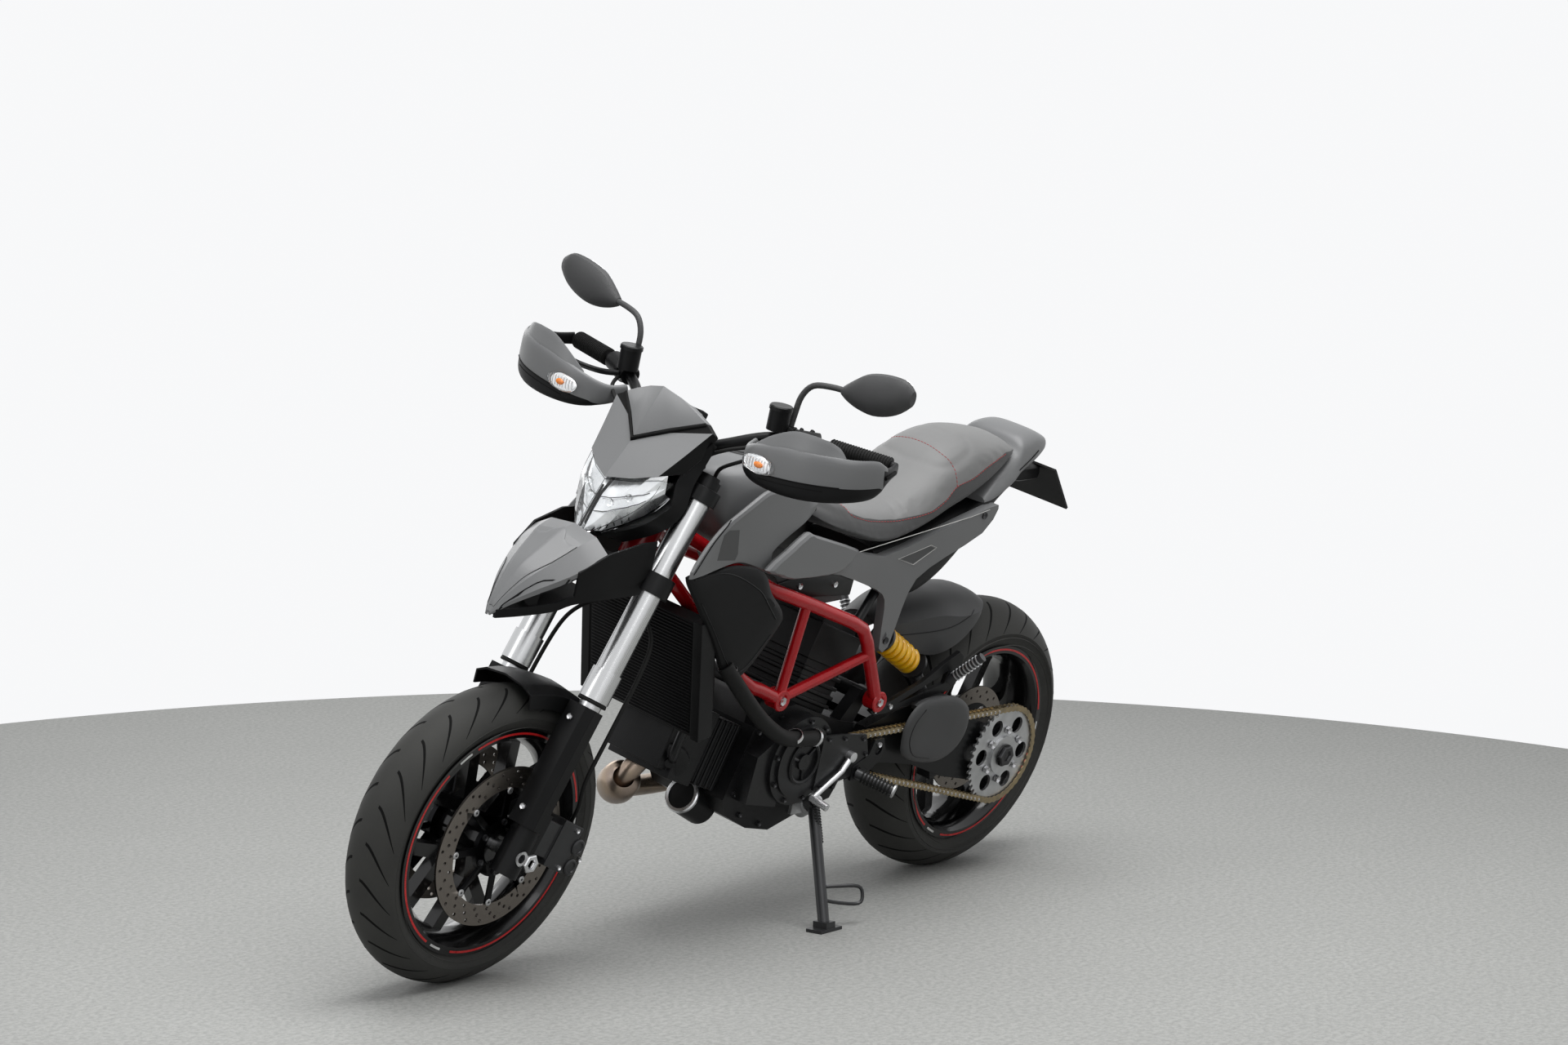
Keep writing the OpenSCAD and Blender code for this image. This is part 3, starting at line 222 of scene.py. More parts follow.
def clearFinish(name, look):  # moulded clear plastic
    material, tree, shader = startMaterial(name, look["color"], look["rough"], 0.0, Transmission_Weight=1.0,
                                           IOR=1.38)
    cloud = noise(tree, bikeCoords(tree, scale=1.0), 60.0, 2.0)
    tree.links.new(ranged(tree, cloud, 0.3, 0.7, look["rough"] * 0.5, look["rough"] * 1.6),
                   shader.inputs["Roughness"])
    bumped(tree, shader, cloud, 0.02, 0.0004)
    return material


finishes = {
    "greyBody": {"color": (0.155, 0.158, 0.161), "other": (0.17, 0.173, 0.176), "rough": 0.4, "cloud": 5.0,
                 "grain": 2600.0, "fleck": 0.3, "bump": 0.05, "specular": 0.5},
    "blackPlastic": {"color": (0.0058, 0.0059, 0.0062), "rough": 0.42, "cloud": 14.0, "grain": 1500.0, "bump": 0.25,
                     "specular": 0.13},
    "guardPlastic": {"color": (0.048, 0.0485, 0.0495), "rough": 0.5, "cloud": 10.0, "grain": 1700.0, "bump": 0.25,
                     "specular": 0.3},
    "satinBlack": {"color": (0.0062, 0.0063, 0.0067), "rough": 0.34, "cloud": 12.0, "grain": 700.0, "bump": 0.12,
                   "specular": 0.18},
    "engineBlack": {"color": (0.0068, 0.0069, 0.0074), "rough": 0.4, "cloud": 22.0, "grain": 520.0, "bump": 0.35,
                    "depth": 0.0008, "specular": 0.2},
    "coverBlack": {"color": (0.0105, 0.0107, 0.0113), "rough": 0.34, "cloud": 24.0, "grain": 620.0, "bump": 0.28,
                   "specular": 0.26},
    "frameRed": {"color": (0.40, 0.003, 0.007), "other": (0.46, 0.004, 0.009), "rough": 0.28, "cloud": 16.0,
                 "grain": 3000.0, "fleck": 0.08, "bump": 0.03, "specular": 0.35,
                 "sockets": {"Coat_Weight": 0.15, "Coat_Roughness": 0.08}},
    "alloy": {"color": (0.56, 0.565, 0.575), "rough": 0.30, "metallic": 1.0, "cloud": 20.0, "grain": 1200.0,
              "bump": 0.08},
    "castAlloy": {"color": (0.42, 0.425, 0.43), "rough": 0.42, "metallic": 1.0, "cloud": 30.0, "grain": 600.0,
                  "bump": 0.3},
    "darkMetal": {"color": (0.026, 0.0265, 0.028), "rough": 0.38, "metallic": 0.35, "cloud": 18.0, "grain": 900.0,
                  "bump": 0.12},
    "boltSteel": {"color": (0.44, 0.44, 0.45), "rough": 0.28, "metallic": 1.0, "cloud": 80.0, "grain": 900.0},
    "boltBlack": {"color": (0.03, 0.03, 0.032), "rough": 0.32, "metallic": 0.6, "cloud": 80.0, "grain": 900.0},
    "gloss": {"color": (0.0042, 0.0042, 0.0045), "rough": 0.16, "cloud": 8.0, "grain": 2500.0, "fleck": 0.08,
              "bump": 0.02, "specular": 0.4, "sockets": {"Coat_Weight": 0.2, "Coat_Roughness": 0.05}},
    "goldChain": {"color": (0.36, 0.28, 0.16), "other": (0.22, 0.185, 0.125), "rough": 0.36, "metallic": 1.0,
                  "cloud": 60.0, "grain": 800.0},
    "yellowSpring": {"color": (0.92, 0.46, 0.008), "rough": 0.28, "cloud": 20.0, "grain": 1800.0, "fleck": 0.1,
                     "bump": 0.04, "sockets": {"Coat_Weight": 0.4}},
    "rubber": {"color": (0.011, 0.011, 0.0108), "rough": 0.6, "cloud": 25.0, "grain": 1100.0, "bump": 0.3,
               "specular": 0.13},
    "treadRubber": {"color": (0.043, 0.043, 0.041), "other": (0.053, 0.053, 0.05), "rough": 0.66, "cloud": 14.0,
                    "grain": 700.0, "bump": 0.3, "specular": 0.18},
    # near-black strips laid on the tread: painted shade of the tread grooves
    "sipe": {"color": (0.004, 0.004, 0.004), "rough": 0.8, "cloud": 40.0, "grain": 900.0, "specular": 0.1},
    "heatPipe": {"color": (0.40, 0.31, 0.23), "other": (0.25, 0.21, 0.20), "rough": 0.34, "metallic": 1.0,
                 "cloud": 14.0, "grain": 700.0},
    "redLens": {"color": (0.42, 0.007, 0.01), "rough": 0.12, "cloud": 40.0, "grain": 900.0, "bump": 0.2},
    "redStripe": {"color": (0.55, 0.012, 0.014), "rough": 0.3, "cloud": 30.0, "grain": 1500.0, "fleck": 0.08},
    "paleStripe": {"color": (0.62, 0.63, 0.62), "rough": 0.35, "cloud": 30.0, "grain": 1500.0, "fleck": 0.08},
    "paleEdge": {"color": (0.40, 0.40, 0.385), "rough": 0.4, "cloud": 20.0, "grain": 1600.0, "fleck": 0.1},
    "darkLine": {"color": (0.0025, 0.0025, 0.0025), "rough": 0.6, "cloud": 30.0, "grain": 1400.0, "specular": 0.1},
    # the grey body plastic darkened: painted shade for folds and sunk insets
    "foldGrey": {"color": (0.045, 0.046, 0.047), "rough": 0.42, "cloud": 8.0, "grain": 2200.0, "fleck": 0.2,
                 "bump": 0.06},
    "redThread": {"color": (0.30, 0.03, 0.032), "rough": 0.6, "cloud": 90.0, "grain": 1600.0, "bump": 0.4},
    "reflector": {"color": (0.80, 0.81, 0.82), "rough": 0.3, "metallic": 1.0, "cloud": 30.0, "grain": 900.0,
                  "spread": 0.04, "bump": 0.03},
    "mirrorGlass": {"color": (0.82, 0.84, 0.85), "rough": 0.045, "metallic": 1.0, "cloud": 12.0, "grain": 900.0,
                    "spread": 0.02, "bump": 0.01},
    "orangeBulb": {"color": (0.85, 0.22, 0.02), "rough": 0.25, "cloud": 40.0, "grain": 900.0, "bump": 0.05},
    "screenGlass": {"color": (0.02, 0.022, 0.024), "rough": 0.1, "cloud": 20.0, "grain": 900.0, "fleck": 0.05,
                    "bump": 0.02},
}
mats = {name: plainFinish(name, look) for name, look in finishes.items()}
mats["forkSilver"] = streakFinish("forkSilver", {"color": (0.60, 0.605, 0.61), "other": (0.57, 0.575, 0.58),
                                                 "rough": 0.25, "stretch": (700.0, 700.0, 2.0)})
for name, hub, carrier in (("frontDiscSteel", frontHub, 118.0), ("rearDiscSteel", rearHub, 84.0)):
    mats[name] = turnedFinish(name, {"color": (0.23, 0.205, 0.18), "other": (0.17, 0.155, 0.14), "rough": 0.34,
                                     "hub": tuple(hub), "carrier": carrier})
mats["seatVinyl"] = vinylFinish("seatVinyl", {"color": (0.18, 0.181, 0.181), "other": (0.2, 0.201, 0.2),
                                              "side": (0.026, 0.0263, 0.0267), "sideOther": (0.034, 0.0344, 0.0348),
                                              "rough": 0.52, "pebble": 900.0})
mats["clearLens"] = clearFinish("clearLens", {"color": (0.97, 0.98, 0.985), "rough": 0.03})
print("finishes", len(mats))


# small makers' helpers, all in millimetres on the upright machine
def finishPiece(name, bm, materials, node, smoothAngle=None):  # rides with the solid that carries it
    if smoothAngle is not None:
        smoothFaces(bm, smoothAngle)
    bmesh.ops.transform(bm, matrix=stood, verts=bm.verts)
    mesh = bpy.data.meshes.new(name)
    bm.to_mesh(mesh)
    bm.free()
    piece = bpy.data.objects.new(name, mesh)
    scene.collection.objects.link(piece)
    for material in (materials if isinstance(materials, list) else [materials]):
        mesh.materials.append(mats[material])
    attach(piece, bodyOf[node])
    return piece


def smoothFaces(bm, sharpAngle):  # smooth faces, with edges past the angle kept crisp
    crease = bm.edges.layers.float.get("crease_edge") or bm.edges.layers.float.new("crease_edge")
    for face in bm.faces:
        face.smooth = True
    for edge in bm.edges:
        sharp = len(edge.link_faces) == 2 and edge.calc_face_angle(0.0) > math.radians(sharpAngle)
        edge.smooth = not sharp
        edge[crease] = 1.0 if sharp else 0.0


def solidMesh(node):  # merged copy of a solid, upright and in millimetres
    bm = bmesh.new()
    bm.from_mesh(nodes[node].data)
    bmesh.ops.transform(bm, matrix=upright, verts=bm.verts)
    bmesh.ops.remove_doubles(bm, verts=bm.verts, dist=0.02)
    bm.normal_update()
    return bm


def addModifier(piece, kind, **settings):
    modifier = piece.modifiers.new(kind.lower(), kind)
    for key, value in settings.items():
        setattr(modifier, key, value)
    return modifier


def skinOf(node, look):  # a smooth copy of a solid stands for it
    bm = solidMesh(node)
    levels = look.get("levels", 0)
    if levels:
        bmesh.ops.join_triangles(bm, faces=bm.faces, angle_face_threshold=math.radians(look["sharp"]),
                                 angle_shape_threshold=math.radians(80))
    else:
        bmesh.ops.dissolve_limit(bm, angle_limit=math.radians(0.5), verts=bm.verts, edges=bm.edges)
    for point, way in look.get("cuts", []):
        bmesh.ops.bisect_plane(bm, geom=bm.verts[:] + bm.edges[:] + bm.faces[:], dist=0.01, plane_co=point,
                               plane_no=way)
    bm.normal_update()
    for face in bm.faces:
        centre = face.calc_center_median()
        for index, (finish, test) in enumerate(look.get("paint", [])):
            if test(centre, face.normal):
                face.material_index = index + 1
    bevel = look.get("bevel")
    piece = finishPiece(node.title().replace("_", "") + "Skin", bm,
                        [look["finish"]] + [p[0] for p in look.get("paint", [])],
                        node, 180 if bevel else look["sharp"])
    if bevel:
        addModifier(piece, "BEVEL", width=bevel * 0.001, segments=2, limit_method="ANGLE",
                    angle_limit=math.radians(look["sharp"]))
        addModifier(piece, "WEIGHTED_NORMAL", keep_sharp=True)
    if levels:
        addModifier(piece, "SUBSURF", levels=levels, render_levels=levels)
    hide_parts(node)
    return piece


def skinMesh(node):  # a dressed solid as it shows, upright and in millimetres
    bm = bmesh.new()
    bm.from_object(skins[node], bpy.context.evaluated_depsgraph_get())
    bmesh.ops.transform(bm, matrix=upright, verts=bm.verts)
    bm.normal_update()
    return bm


def surfaceOf(piece):  # what a line is laid on
    return BVHTree.FromObject(piece, bpy.context.evaluated_depsgraph_get())


def throughPoints(points, steps, cyclic=False):  # smooth run of points through a few
    points = [Vector(p) for p in points]
    count = len(points)
    run = []
    for i in range(count if cyclic else count - 1):
        a, b, c, d = (points[(i + k) % count] if cyclic else points[min(max(i + k, 0), count - 1)]
                      for k in (-1, 0, 1, 2))
        for k in range(steps):
            t = k / steps
            run.append(0.5 * (2 * b + (c - a) * t + (2 * a - 5 * b + 4 * c - d) * t * t
                              + (3 * b - a - 3 * c + d) * t ** 3))
    return run if cyclic else run + [points[-1]]


def laidOn(surface, points, way, lift=0.3):  # points dropped on to a surface along a direction
    way = Vector(way)
    heading = stoodWay(way)
    laid = []
    for point in points:
        hit, normal, _, _ = surface.ray_cast(stood @ (Vector(point) - way * 150), heading, 0.4)
        if hit:
            laid.append(upright @ hit + uprightWay(normal) * lift)
    return laid


def mirroredPoints(points):
    return [sided(p, -1) for p in points]


def addTube(bm, points, radius, cyclic=False, roundness=1):  # a bevelled curve turned to mesh
    if len(points) < 2:
        return
    curve = bpy.data.curves.new("route", "CURVE")
    curve.dimensions = "3D"
    curve.bevel_depth = radius
    curve.bevel_resolution = roundness
    curve.use_fill_caps = True
    spline = curve.splines.new("POLY")
    spline.points.add(len(points) - 1)
    for place, point in zip(spline.points, points):
        place.co = (*point, 1)
    spline.use_cyclic_u = cyclic
    route = bpy.data.objects.new("route", curve)
    bm.from_mesh(route.to_mesh())
    route.to_mesh_clear()
    bpy.data.objects.remove(route)
    bpy.data.curves.remove(curve)


# profile of (radius, height) turned round an axis
def addLathe(bm, profile, point, way, steps=40, angle=360.0, start=0.0):
    made = bmesh.new()
    verts = [made.verts.new((r, 0, h)) for r, h in profile]
    edges = [made.edges.new((a, b)) for a, b in zip(verts, verts[1:] + verts[:1])]
    bmesh.ops.rotate(made, verts=verts, cent=(0, 0, 0), matrix=Matrix.Rotation(math.radians(start), 3, "Z"))
    bmesh.ops.spin(made, geom=verts + edges, cent=(0, 0, 0), axis=(0, 0, 1), dvec=(0, 0, 0),
                   angle=math.radians(angle), steps=steps, use_merge=angle >= 360.0)
    if angle < 360.0:
        bmesh.ops.holes_fill(made, edges=[e for e in made.edges if e.is_boundary], sides=0)
    bmesh.ops.remove_doubles(made, verts=made.verts, dist=0.001)
    bmesh.ops.recalc_face_normals(made, faces=made.faces)
    put(bm, made, point, way)


# adds a finished shape, its Z along a direction
def put(bm, made, point=(0, 0, 0), way=None, size=(1, 1, 1), roll=0.0):
    temp = bpy.data.meshes.new("shape")
    made.to_mesh(temp)
    made.free()
    stamp(bm, temp, point, way, size, roll)
    bpy.data.meshes.remove(temp)


def stamp(bm, shape, point=(0, 0, 0), way=None, size=(1, 1, 1), roll=0.0):
    turn = Vector(way).to_track_quat("Z", "Y").to_matrix().to_4x4() if way else Matrix.Identity(4)
    addMoved(bm, shape, Matrix.Translation(point) @ turn @ Matrix.Rotation(roll, 4, "Z")
             @ Matrix.Diagonal((*size, 1)))


def addMoved(bm, shape, move):
    copy = shape.copy()
    copy.transform(move)
    bm.from_mesh(copy)
    bpy.data.meshes.remove(copy)


def boltShape(sides, socket):  # a bolt head of radius and height 1, its socket sunk in the top
    bm = bmesh.new()
    bmesh.ops.create_cone(bm, cap_ends=True, segments=sides, radius1=1.0, radius2=0.93, depth=1.0)
    bmesh.ops.translate(bm, verts=bm.verts, vec=(0, 0, 0.5))
    top = [f for f in bm.faces if f.normal.z > 0.9]
    bmesh.ops.inset_region(bm, faces=top, thickness=1 - socket)
    bmesh.ops.translate(bm, verts=list({v for f in top for v in f.verts}), vec=(0, 0, -0.45))
    shape = bpy.data.meshes.new("boltHead")
    bm.to_mesh(shape)
    bm.free()
    return shape


def addSlab(bm, outline, y0, y1, ease=1.5):  # plate drawn in the side view
    made = bmesh.new()
    face = made.faces.new([made.verts.new((x, y0, z)) for x, z in outline])
    grown = bmesh.ops.extrude_face_region(made, geom=[face])
    bmesh.ops.translate(made, verts=[v for v in grown["geom"] if isinstance(v, bmesh.types.BMVert)],
                        vec=(0, y1 - y0, 0))
    bmesh.ops.recalc_face_normals(made, faces=made.faces)
    if ease:
        bmesh.ops.bevel(made, geom=made.edges[:], offset=ease, offset_type="OFFSET", affect="EDGES", segments=2,
                        profile=0.5, material=-1, clamp_overlap=True)
    put(bm, made)


def addPatch(bm, source, keep, lift, thick):  # chosen faces of a surface, lifted and given a wall
    patch = source.copy()
    bmesh.ops.delete(patch, geom=[f for f in patch.faces if not keep(f.calc_center_median(), f.normal)],
                     context="FACES")
    patch.normal_update()
    for vert in patch.verts:
        vert.co += vert.normal * lift
    bmesh.ops.solidify(patch, geom=patch.faces[:], thickness=thick)
    bmesh.ops.recalc_face_normals(patch, faces=patch.faces)
    put(bm, patch)


bodyOf = {node: body for body, members in frame["record"]["behaviour"]["bodies"].items() for node in members}
socketBolt = boltShape(14, 0.58)
hexBolt = boltShape(6, 0.3)


def alongFork(p):  # height up the steering axis
    return (steerFrame.inverted() @ p).z


def bandLow(y):  # lower edge of the dark V on the nose
    return 1067 + 30 * y / 50 if y < 50 else 1097 + 20 * (y - 50) / 76


def bandHigh(y):
    return 1077 + 28 * y / 50 if y < 50 else 1105 + 25 * (y - 50) / 53


guardSeam = {"y": 300, "z": 1089, "rise": 0.129, "normal": (0, -0.128, 0.992)}
forkBands = {"shoe": 428, "sleeve": 641, "cap": 1092}  # heights up the steering axis where the leg's finish changes


def guardEdge(y):  # where the grey shield of a handguard meets its black band
    return guardSeam["z"] + (y - guardSeam["y"]) * guardSeam["rise"]


def skinLook(finish, sharp, **more):  # finish, angle past which edges stay crisp, then bevel or levels
    return {"finish": finish, "sharp": sharp, **more}


dressing = {
    "frame": skinLook("frameRed", 38), "crankcase": skinLook("engineBlack", 25, bevel=2.5),
    "cylinders": skinLook("engineBlack", 25, bevel=2.0),
    "engine_covers": skinLook("coverBlack", 25, bevel=3.0),
    "radiator": skinLook("satinBlack", 25, bevel=2.0), "coolant_hose": skinLook("rubber", 50, levels=1),
    "tank": skinLook("greyBody", 60, levels=2), "airbox": skinLook("guardPlastic", 25, bevel=3.0),
    "shrouds": skinLook("greyBody", 22, levels=1),
    "lower_shrouds": skinLook("blackPlastic", 30, levels=1),
    "tail_panels": skinLook("greyBody", 30, bevel=3.0),
    "tail_unit": skinLook("greyBody", 50, levels=2), "under_tail": skinLook("blackPlastic", 50, levels=1),
    "tail_light": skinLook("redLens", 60, levels=1), "plate_holder": skinLook("blackPlastic", 40, bevel=1.5),
    "swingarm": skinLook("satinBlack", 25, bevel=4.0),
    "rear_guards": skinLook("guardPlastic", 35, levels=1), "chain": skinLook("goldChain", 30),
    "drive_sprocket": skinLook("castAlloy", 30), "shock": skinLook("darkMetal", 30),
    "shock_spring": skinLook("yellowSpring", 60, levels=1),
    "exhaust_pipe": skinLook("heatPipe", 50, levels=1), "silencer": skinLook("satinBlack", 40, levels=1),
    "footpegs": skinLook("darkMetal", 30), "hangers": skinLook("satinBlack", 25, bevel=1.6),
    "foot_levers": skinLook("alloy", 30), "rear_caliper": skinLook("darkMetal", 25, bevel=3.0),
    "fork_legs": {"finish": "forkSilver", "sharp": 30, "cuts": [
        (forkPoint(0, 0, w), forkWay(0, 0, 1)) for w in forkBands.values()], "paint": [
        ("satinBlack", lambda p, n: not forkBands["shoe"] <= alongFork(p) <= forkBands["cap"]),
        ("alloy", lambda p, n: forkBands["shoe"] <= alongFork(p) < forkBands["sleeve"])]},
    "yokes": skinLook("satinBlack", 25, bevel=2.5), "handlebar": skinLook("satinBlack", 50, levels=1),
    "grips": skinLook("rubber", 30), "controls": skinLook("blackPlastic", 30),
    "handguards": {"finish": "blackPlastic", "sharp": 60, "levels": 1, "cuts": [
        ((0, side * guardSeam["y"], guardSeam["z"]), sided(guardSeam["normal"], side)) for side in (1, -1)],
                   "paint": [("greyBody", lambda p, n: p.z > guardEdge(abs(p.y)) and p.x > 330)]},
    "indicators": skinLook("clearLens", 50, levels=1), "mirrors": skinLook("guardPlastic", 24, bevel=2.5),
    "nose": {"finish": "greyBody", "sharp": 12, "bevel": 0.8, "paint": [
        ("darkLine", lambda p, n: p.x > 432 and bandLow(abs(p.y)) + 0.6 < p.z < bandHigh(abs(p.y)) - 0.6),
        ("blackPlastic", lambda p, n: abs(n.y) > 0.74 and p.z < bandLow(abs(p.y)))]},
    "lamp_shell": skinLook("blackPlastic", 30, levels=1), "beak": skinLook("greyBody", 9, levels=1),
    "beak_sides": skinLook("blackPlastic", 25, bevel=1.2),
    "front_mudguard": skinLook("blackPlastic", 25, bevel=1.0), "front_axle": skinLook("alloy", 30),
    "front_calipers": skinLook("darkMetal", 25, bevel=3.0), "dash": skinLook("blackPlastic", 25, bevel=3.0),
    "front_tyre": skinLook("treadRubber", 35), "front_rim": skinLook("gloss", 25),
    "front_discs": skinLook("frontDiscSteel", 30),
    "rear_tyre": skinLook("treadRubber", 35), "rear_rim": skinLook("gloss", 25),
    "rear_disc": skinLook("rearDiscSteel", 30), "sprocket": skinLook("castAlloy", 30),
    "side_stand": skinLook("darkMetal", 30), "stand_bracket": skinLook("castAlloy", 30, bevel=2.0),
    "brake_hoses": skinLook("rubber", 50, levels=1),
}
skins = {node: skinOf(node, look) for node, look in dressing.items()}
print("dressed", len(skins), "solids")

depsgraph = bpy.context.evaluated_depsgraph_get()
surfaces = {node: surfaceOf(skins[node]) for node in (
    "shrouds", "lower_shrouds", "beak", "handguards", "tail_panels", "tail_unit", "rear_guards")}
forward = (-1, 0, 0)
fromLeft = (0, -1, 0)
outward = (0, 1, 0)


def addLine(bm, surface, points, way, radius, lift=0.2, steps=6, cyclic=False):  # a thin line on both flanks
    run = throughPoints(points, steps, cyclic)
    addTube(bm, laidOn(surfaces[surface], run, way, lift), radius, cyclic)
    addTube(bm, laidOn(surfaces[surface], mirroredPoints(run), sided(way, -1), lift), radius, cyclic)


def addBothBolts(bm, shape, places, size):  # bolts on the left, repeated on the right
    for point, way in places:
        for side in (1, -1):
            stamp(bm, shape, sided(point, side), sided(way, side), size)


# nose: the visor plate stands proud of the dark V
noseLook = {"lift": 2.0, "wall": 3.0, "groove": 4.2,
            "run": [(448, 105, 1127), (486, 52, 1101), (528, 0, 1072), (486, -52, 1101), (448, -105, 1127)]}
noseSource = solidMesh("nose")
bm = bmesh.new()
addPatch(bm, noseSource, lambda p, n: p.z > bandHigh(abs(p.y)) - 0.6 and n.x > 0.1, noseLook["lift"],
         noseLook["wall"])
bmesh.ops.bevel(bm, geom=[e for e in bm.edges if e.calc_face_angle(0) > 0.6], offset=1.0, affect="EDGES",
                segments=2, profile=0.5, material=-1)
dark = bmesh.new()
addTube(dark, noseLook["run"], noseLook["groove"], roundness=2)
finishPiece("noseGroove", dark, "darkLine", "nose", 50)
finishPiece("noseVisorPlate", bm, "greyBody", "nose", 25)
noseSource.free()

# headlamp: a clear shell over faceted reflectors with dark fins along the lower edge
lampLook = {"wall": 2.0, "depth": 15.0, "columns": 4, "rows": 3, "facet": 1.0, "from": 4.0, "reach": 90.0,
            "margin": 5.0,
            "brow": (2, 0, 13), "fins": 6, "mouldLines": (0.36, 0.62), "midRib": (905, 930, 960, 984),
            "bulbs": ((26, 958), (52, 974), (-26, 958), (-52, 974))}
lampSurface = BVHTree.FromObject(nodes["headlamp"], depsgraph)
lampWay = stoodWay((-1, 0, 0))


def lampPoint(y, z, depth):
    hit = lampSurface.ray_cast(stood @ Vector((800, y, z)), lampWay, 0.6)[0]
    return Vector(((upright @ hit).x - depth if hit else 520.0, y, z))


def lampSpan(y):  # lowest and highest point of the lens at a distance from the middle
    seen = [z for z in range(890, 1030, 2) if lampSurface.ray_cast(stood @ Vector((800, y, z)), lampWay, 0.6)[0]]
    return (min(seen), max(seen)) if seen else (975, 1000)


def lampHeight(y, part):  # height at a part of the lens, kept off its edges
    low, high = lampSpan(y)
    return low + lampLook["margin"] + (high - low - 9) * part


lampSource = solidMesh("headlamp")
bm = bmesh.new()
addPatch(bm, lampSource, lambda p, n: n.x > 0.03, 0.0, lampLook["wall"])
lens = finishPiece("headlampLens", bm, "clearLens", "headlamp", 14)
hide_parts("headlamp")
lampSource.free()
bm = bmesh.new()
for side in (1, -1):
    made = bmesh.new()
    bmesh.ops.create_grid(made, x_segments=lampLook["columns"], y_segments=lampLook["rows"], size=0.5)
    for vert in made.verts:
        y = side * (lampLook["from"] + (vert.co.x + 0.5) * lampLook["reach"])
        top = vert.co.y > 0.49
        vert.co = lampPoint(y, lampHeight(y, vert.co.y + 0.5), lampLook["depth"])
        if top:  # the upper edge runs back under the brow
            vert.co += Vector(lampLook["brow"])
    bmesh.ops.recalc_face_normals(made, faces=made.faces)
    if sum(f.normal.x for f in made.faces) < 0:
        bmesh.ops.reverse_faces(made, faces=made.faces)
    bmesh.ops.poke(made, faces=made.faces, offset=lampLook["facet"])
    bmesh.ops.solidify(made, geom=made.faces[:], thickness=1.2)
    put(bm, made)
bmesh.ops.recalc_face_normals(bm, faces=bm.faces)
finishPiece("headlampReflectors", bm, "reflector", "headlamp", 12)
bm = bmesh.new()
for side in (1, -1):
    for k in range(lampLook["fins"]):  # slanted fins low in the lens
        y = side * (20 + 8 * k)
        low = lampSpan(y)[0]
        addTube(bm, [lampPoint(y, low + lampLook["margin"], 5), lampPoint(y + side * 4, low + 13, 6)], 1.3)
    for line in lampLook["mouldLines"]:  # thin mould lines across the reflector
        addTube(bm, [lampPoint(side * y, lampHeight(side * y, line), 9) for y in range(8, 88, 8)], 0.8)
addTube(bm, [lampPoint(0, z, 8) for z in lampLook["midRib"]], 2.6)
finishPiece("headlampDarkFins", bm, "satinBlack", "lamp_shell", 40)
bm = bmesh.new()
for y, z in lampLook["bulbs"]:
    addLathe(bm, [(0, 0), (7, 0), (7, 6), (4, 10), (0, 11)], lampPoint(y, z, 15.5), (1, 0, -0.1), 16)
finishPiece("headlampBulbs", bm, "clearLens", "headlamp", 30)
print("nose and headlamp")

# beak: raised top plate with a notch behind, dark intakes, parting lines
beakLook = {"line": 1.2, "plateLift": 2.6, "plateWall": 2.0, "tip": 824, "reach": 140,
            "crest": [(824, 6), (812, 10), (795, 16), (777, 22), (754, 33), (731, 43), (704, 50), (684, 55)],
            "notch": [(0, 668), (14, 672), (18, 686), (38, 690), (55, 684)],
            "intakeLow": [(818, 13, 761), (790, 29, 771), (754, 47, 777), (732, 72, 787)],
            "intakeHigh": [(811, 18, 776), (788, 33, 802), (757, 48, 826), (712, 79, 834)],
            "gap": [(640, 102, 874), (662, 97, 860), (684, 92, 846), (710, 81, 831)]}


def between(rows, s, t):  # a point of the sheet drawn between two runs of points
    def along(run, t):
        k = min(int(t * (len(run) - 1)), len(run) - 2)
        return Vector(run[k]).lerp(Vector(run[k + 1]), t * (len(run) - 1) - k)
    return along(rows[0], t).lerp(along(rows[1], t), s)


def stepped(pairs, x):  # a straight-line table read at x, pairs in falling or rising order
    pairs = sorted(pairs)
    for (a, u), (b, v) in zip(pairs, pairs[1:]):
        if a <= x <= b:
            return u + (v - u) * (x - a) / (b - a)
    return pairs[0][1] if x < pairs[0][0] else pairs[-1][1]


def closeSheet(bm, made, way, thick, ease):  # turns an open sheet outward and gives it a wall with eased edges
    bmesh.ops.recalc_face_normals(made, faces=made.faces)
    if sum(f.normal.dot(Vector(way)) * f.calc_area() for f in made.faces) < 0:
        bmesh.ops.reverse_faces(made, faces=made.faces)
    bmesh.ops.solidify(made, geom=made.faces[:], thickness=thick)
    bmesh.ops.recalc_face_normals(made, faces=made.faces)
    if ease:
        bmesh.ops.bevel(made, geom=[e for e in made.edges if e.calc_face_angle(0) > 0.9], offset=ease,
                        affect="EDGES", segments=2, profile=0.5, material=-1)
    put(bm, made)


bm = bmesh.new()
made = bmesh.new()
bmesh.ops.create_grid(made, x_segments=14, y_segments=22, size=0.5)
for vert in made.verts:  # raised top plate, cut to the crest lines and the notch behind
    part, s = vert.co.x * 2, vert.co.y + 0.5
    width = stepped(beakLook["crest"], beakLook["tip"] - s * beakLook["reach"])
    back = stepped(beakLook["notch"], abs(part) * width)
    x = beakLook["tip"] - s * (beakLook["tip"] - back)
    y = part * stepped(beakLook["crest"], x)
    hit = surfaces["beak"].ray_cast(stood @ Vector((x, y, 1000)), stoodWay((0, 0, -1)), 0.6)
    vert.co = (upright @ hit[0] + Vector((0, 0, beakLook["plateLift"])) if hit[0]
               else Vector((x, y, 900 - 0.9 * (x - 680))))
closeSheet(bm, made, (0.5, 0, 1), beakLook["plateWall"], 0.5)
finishPiece("beakTopPlate", bm, "greyBody", "beak", 25)
bm = bmesh.new()
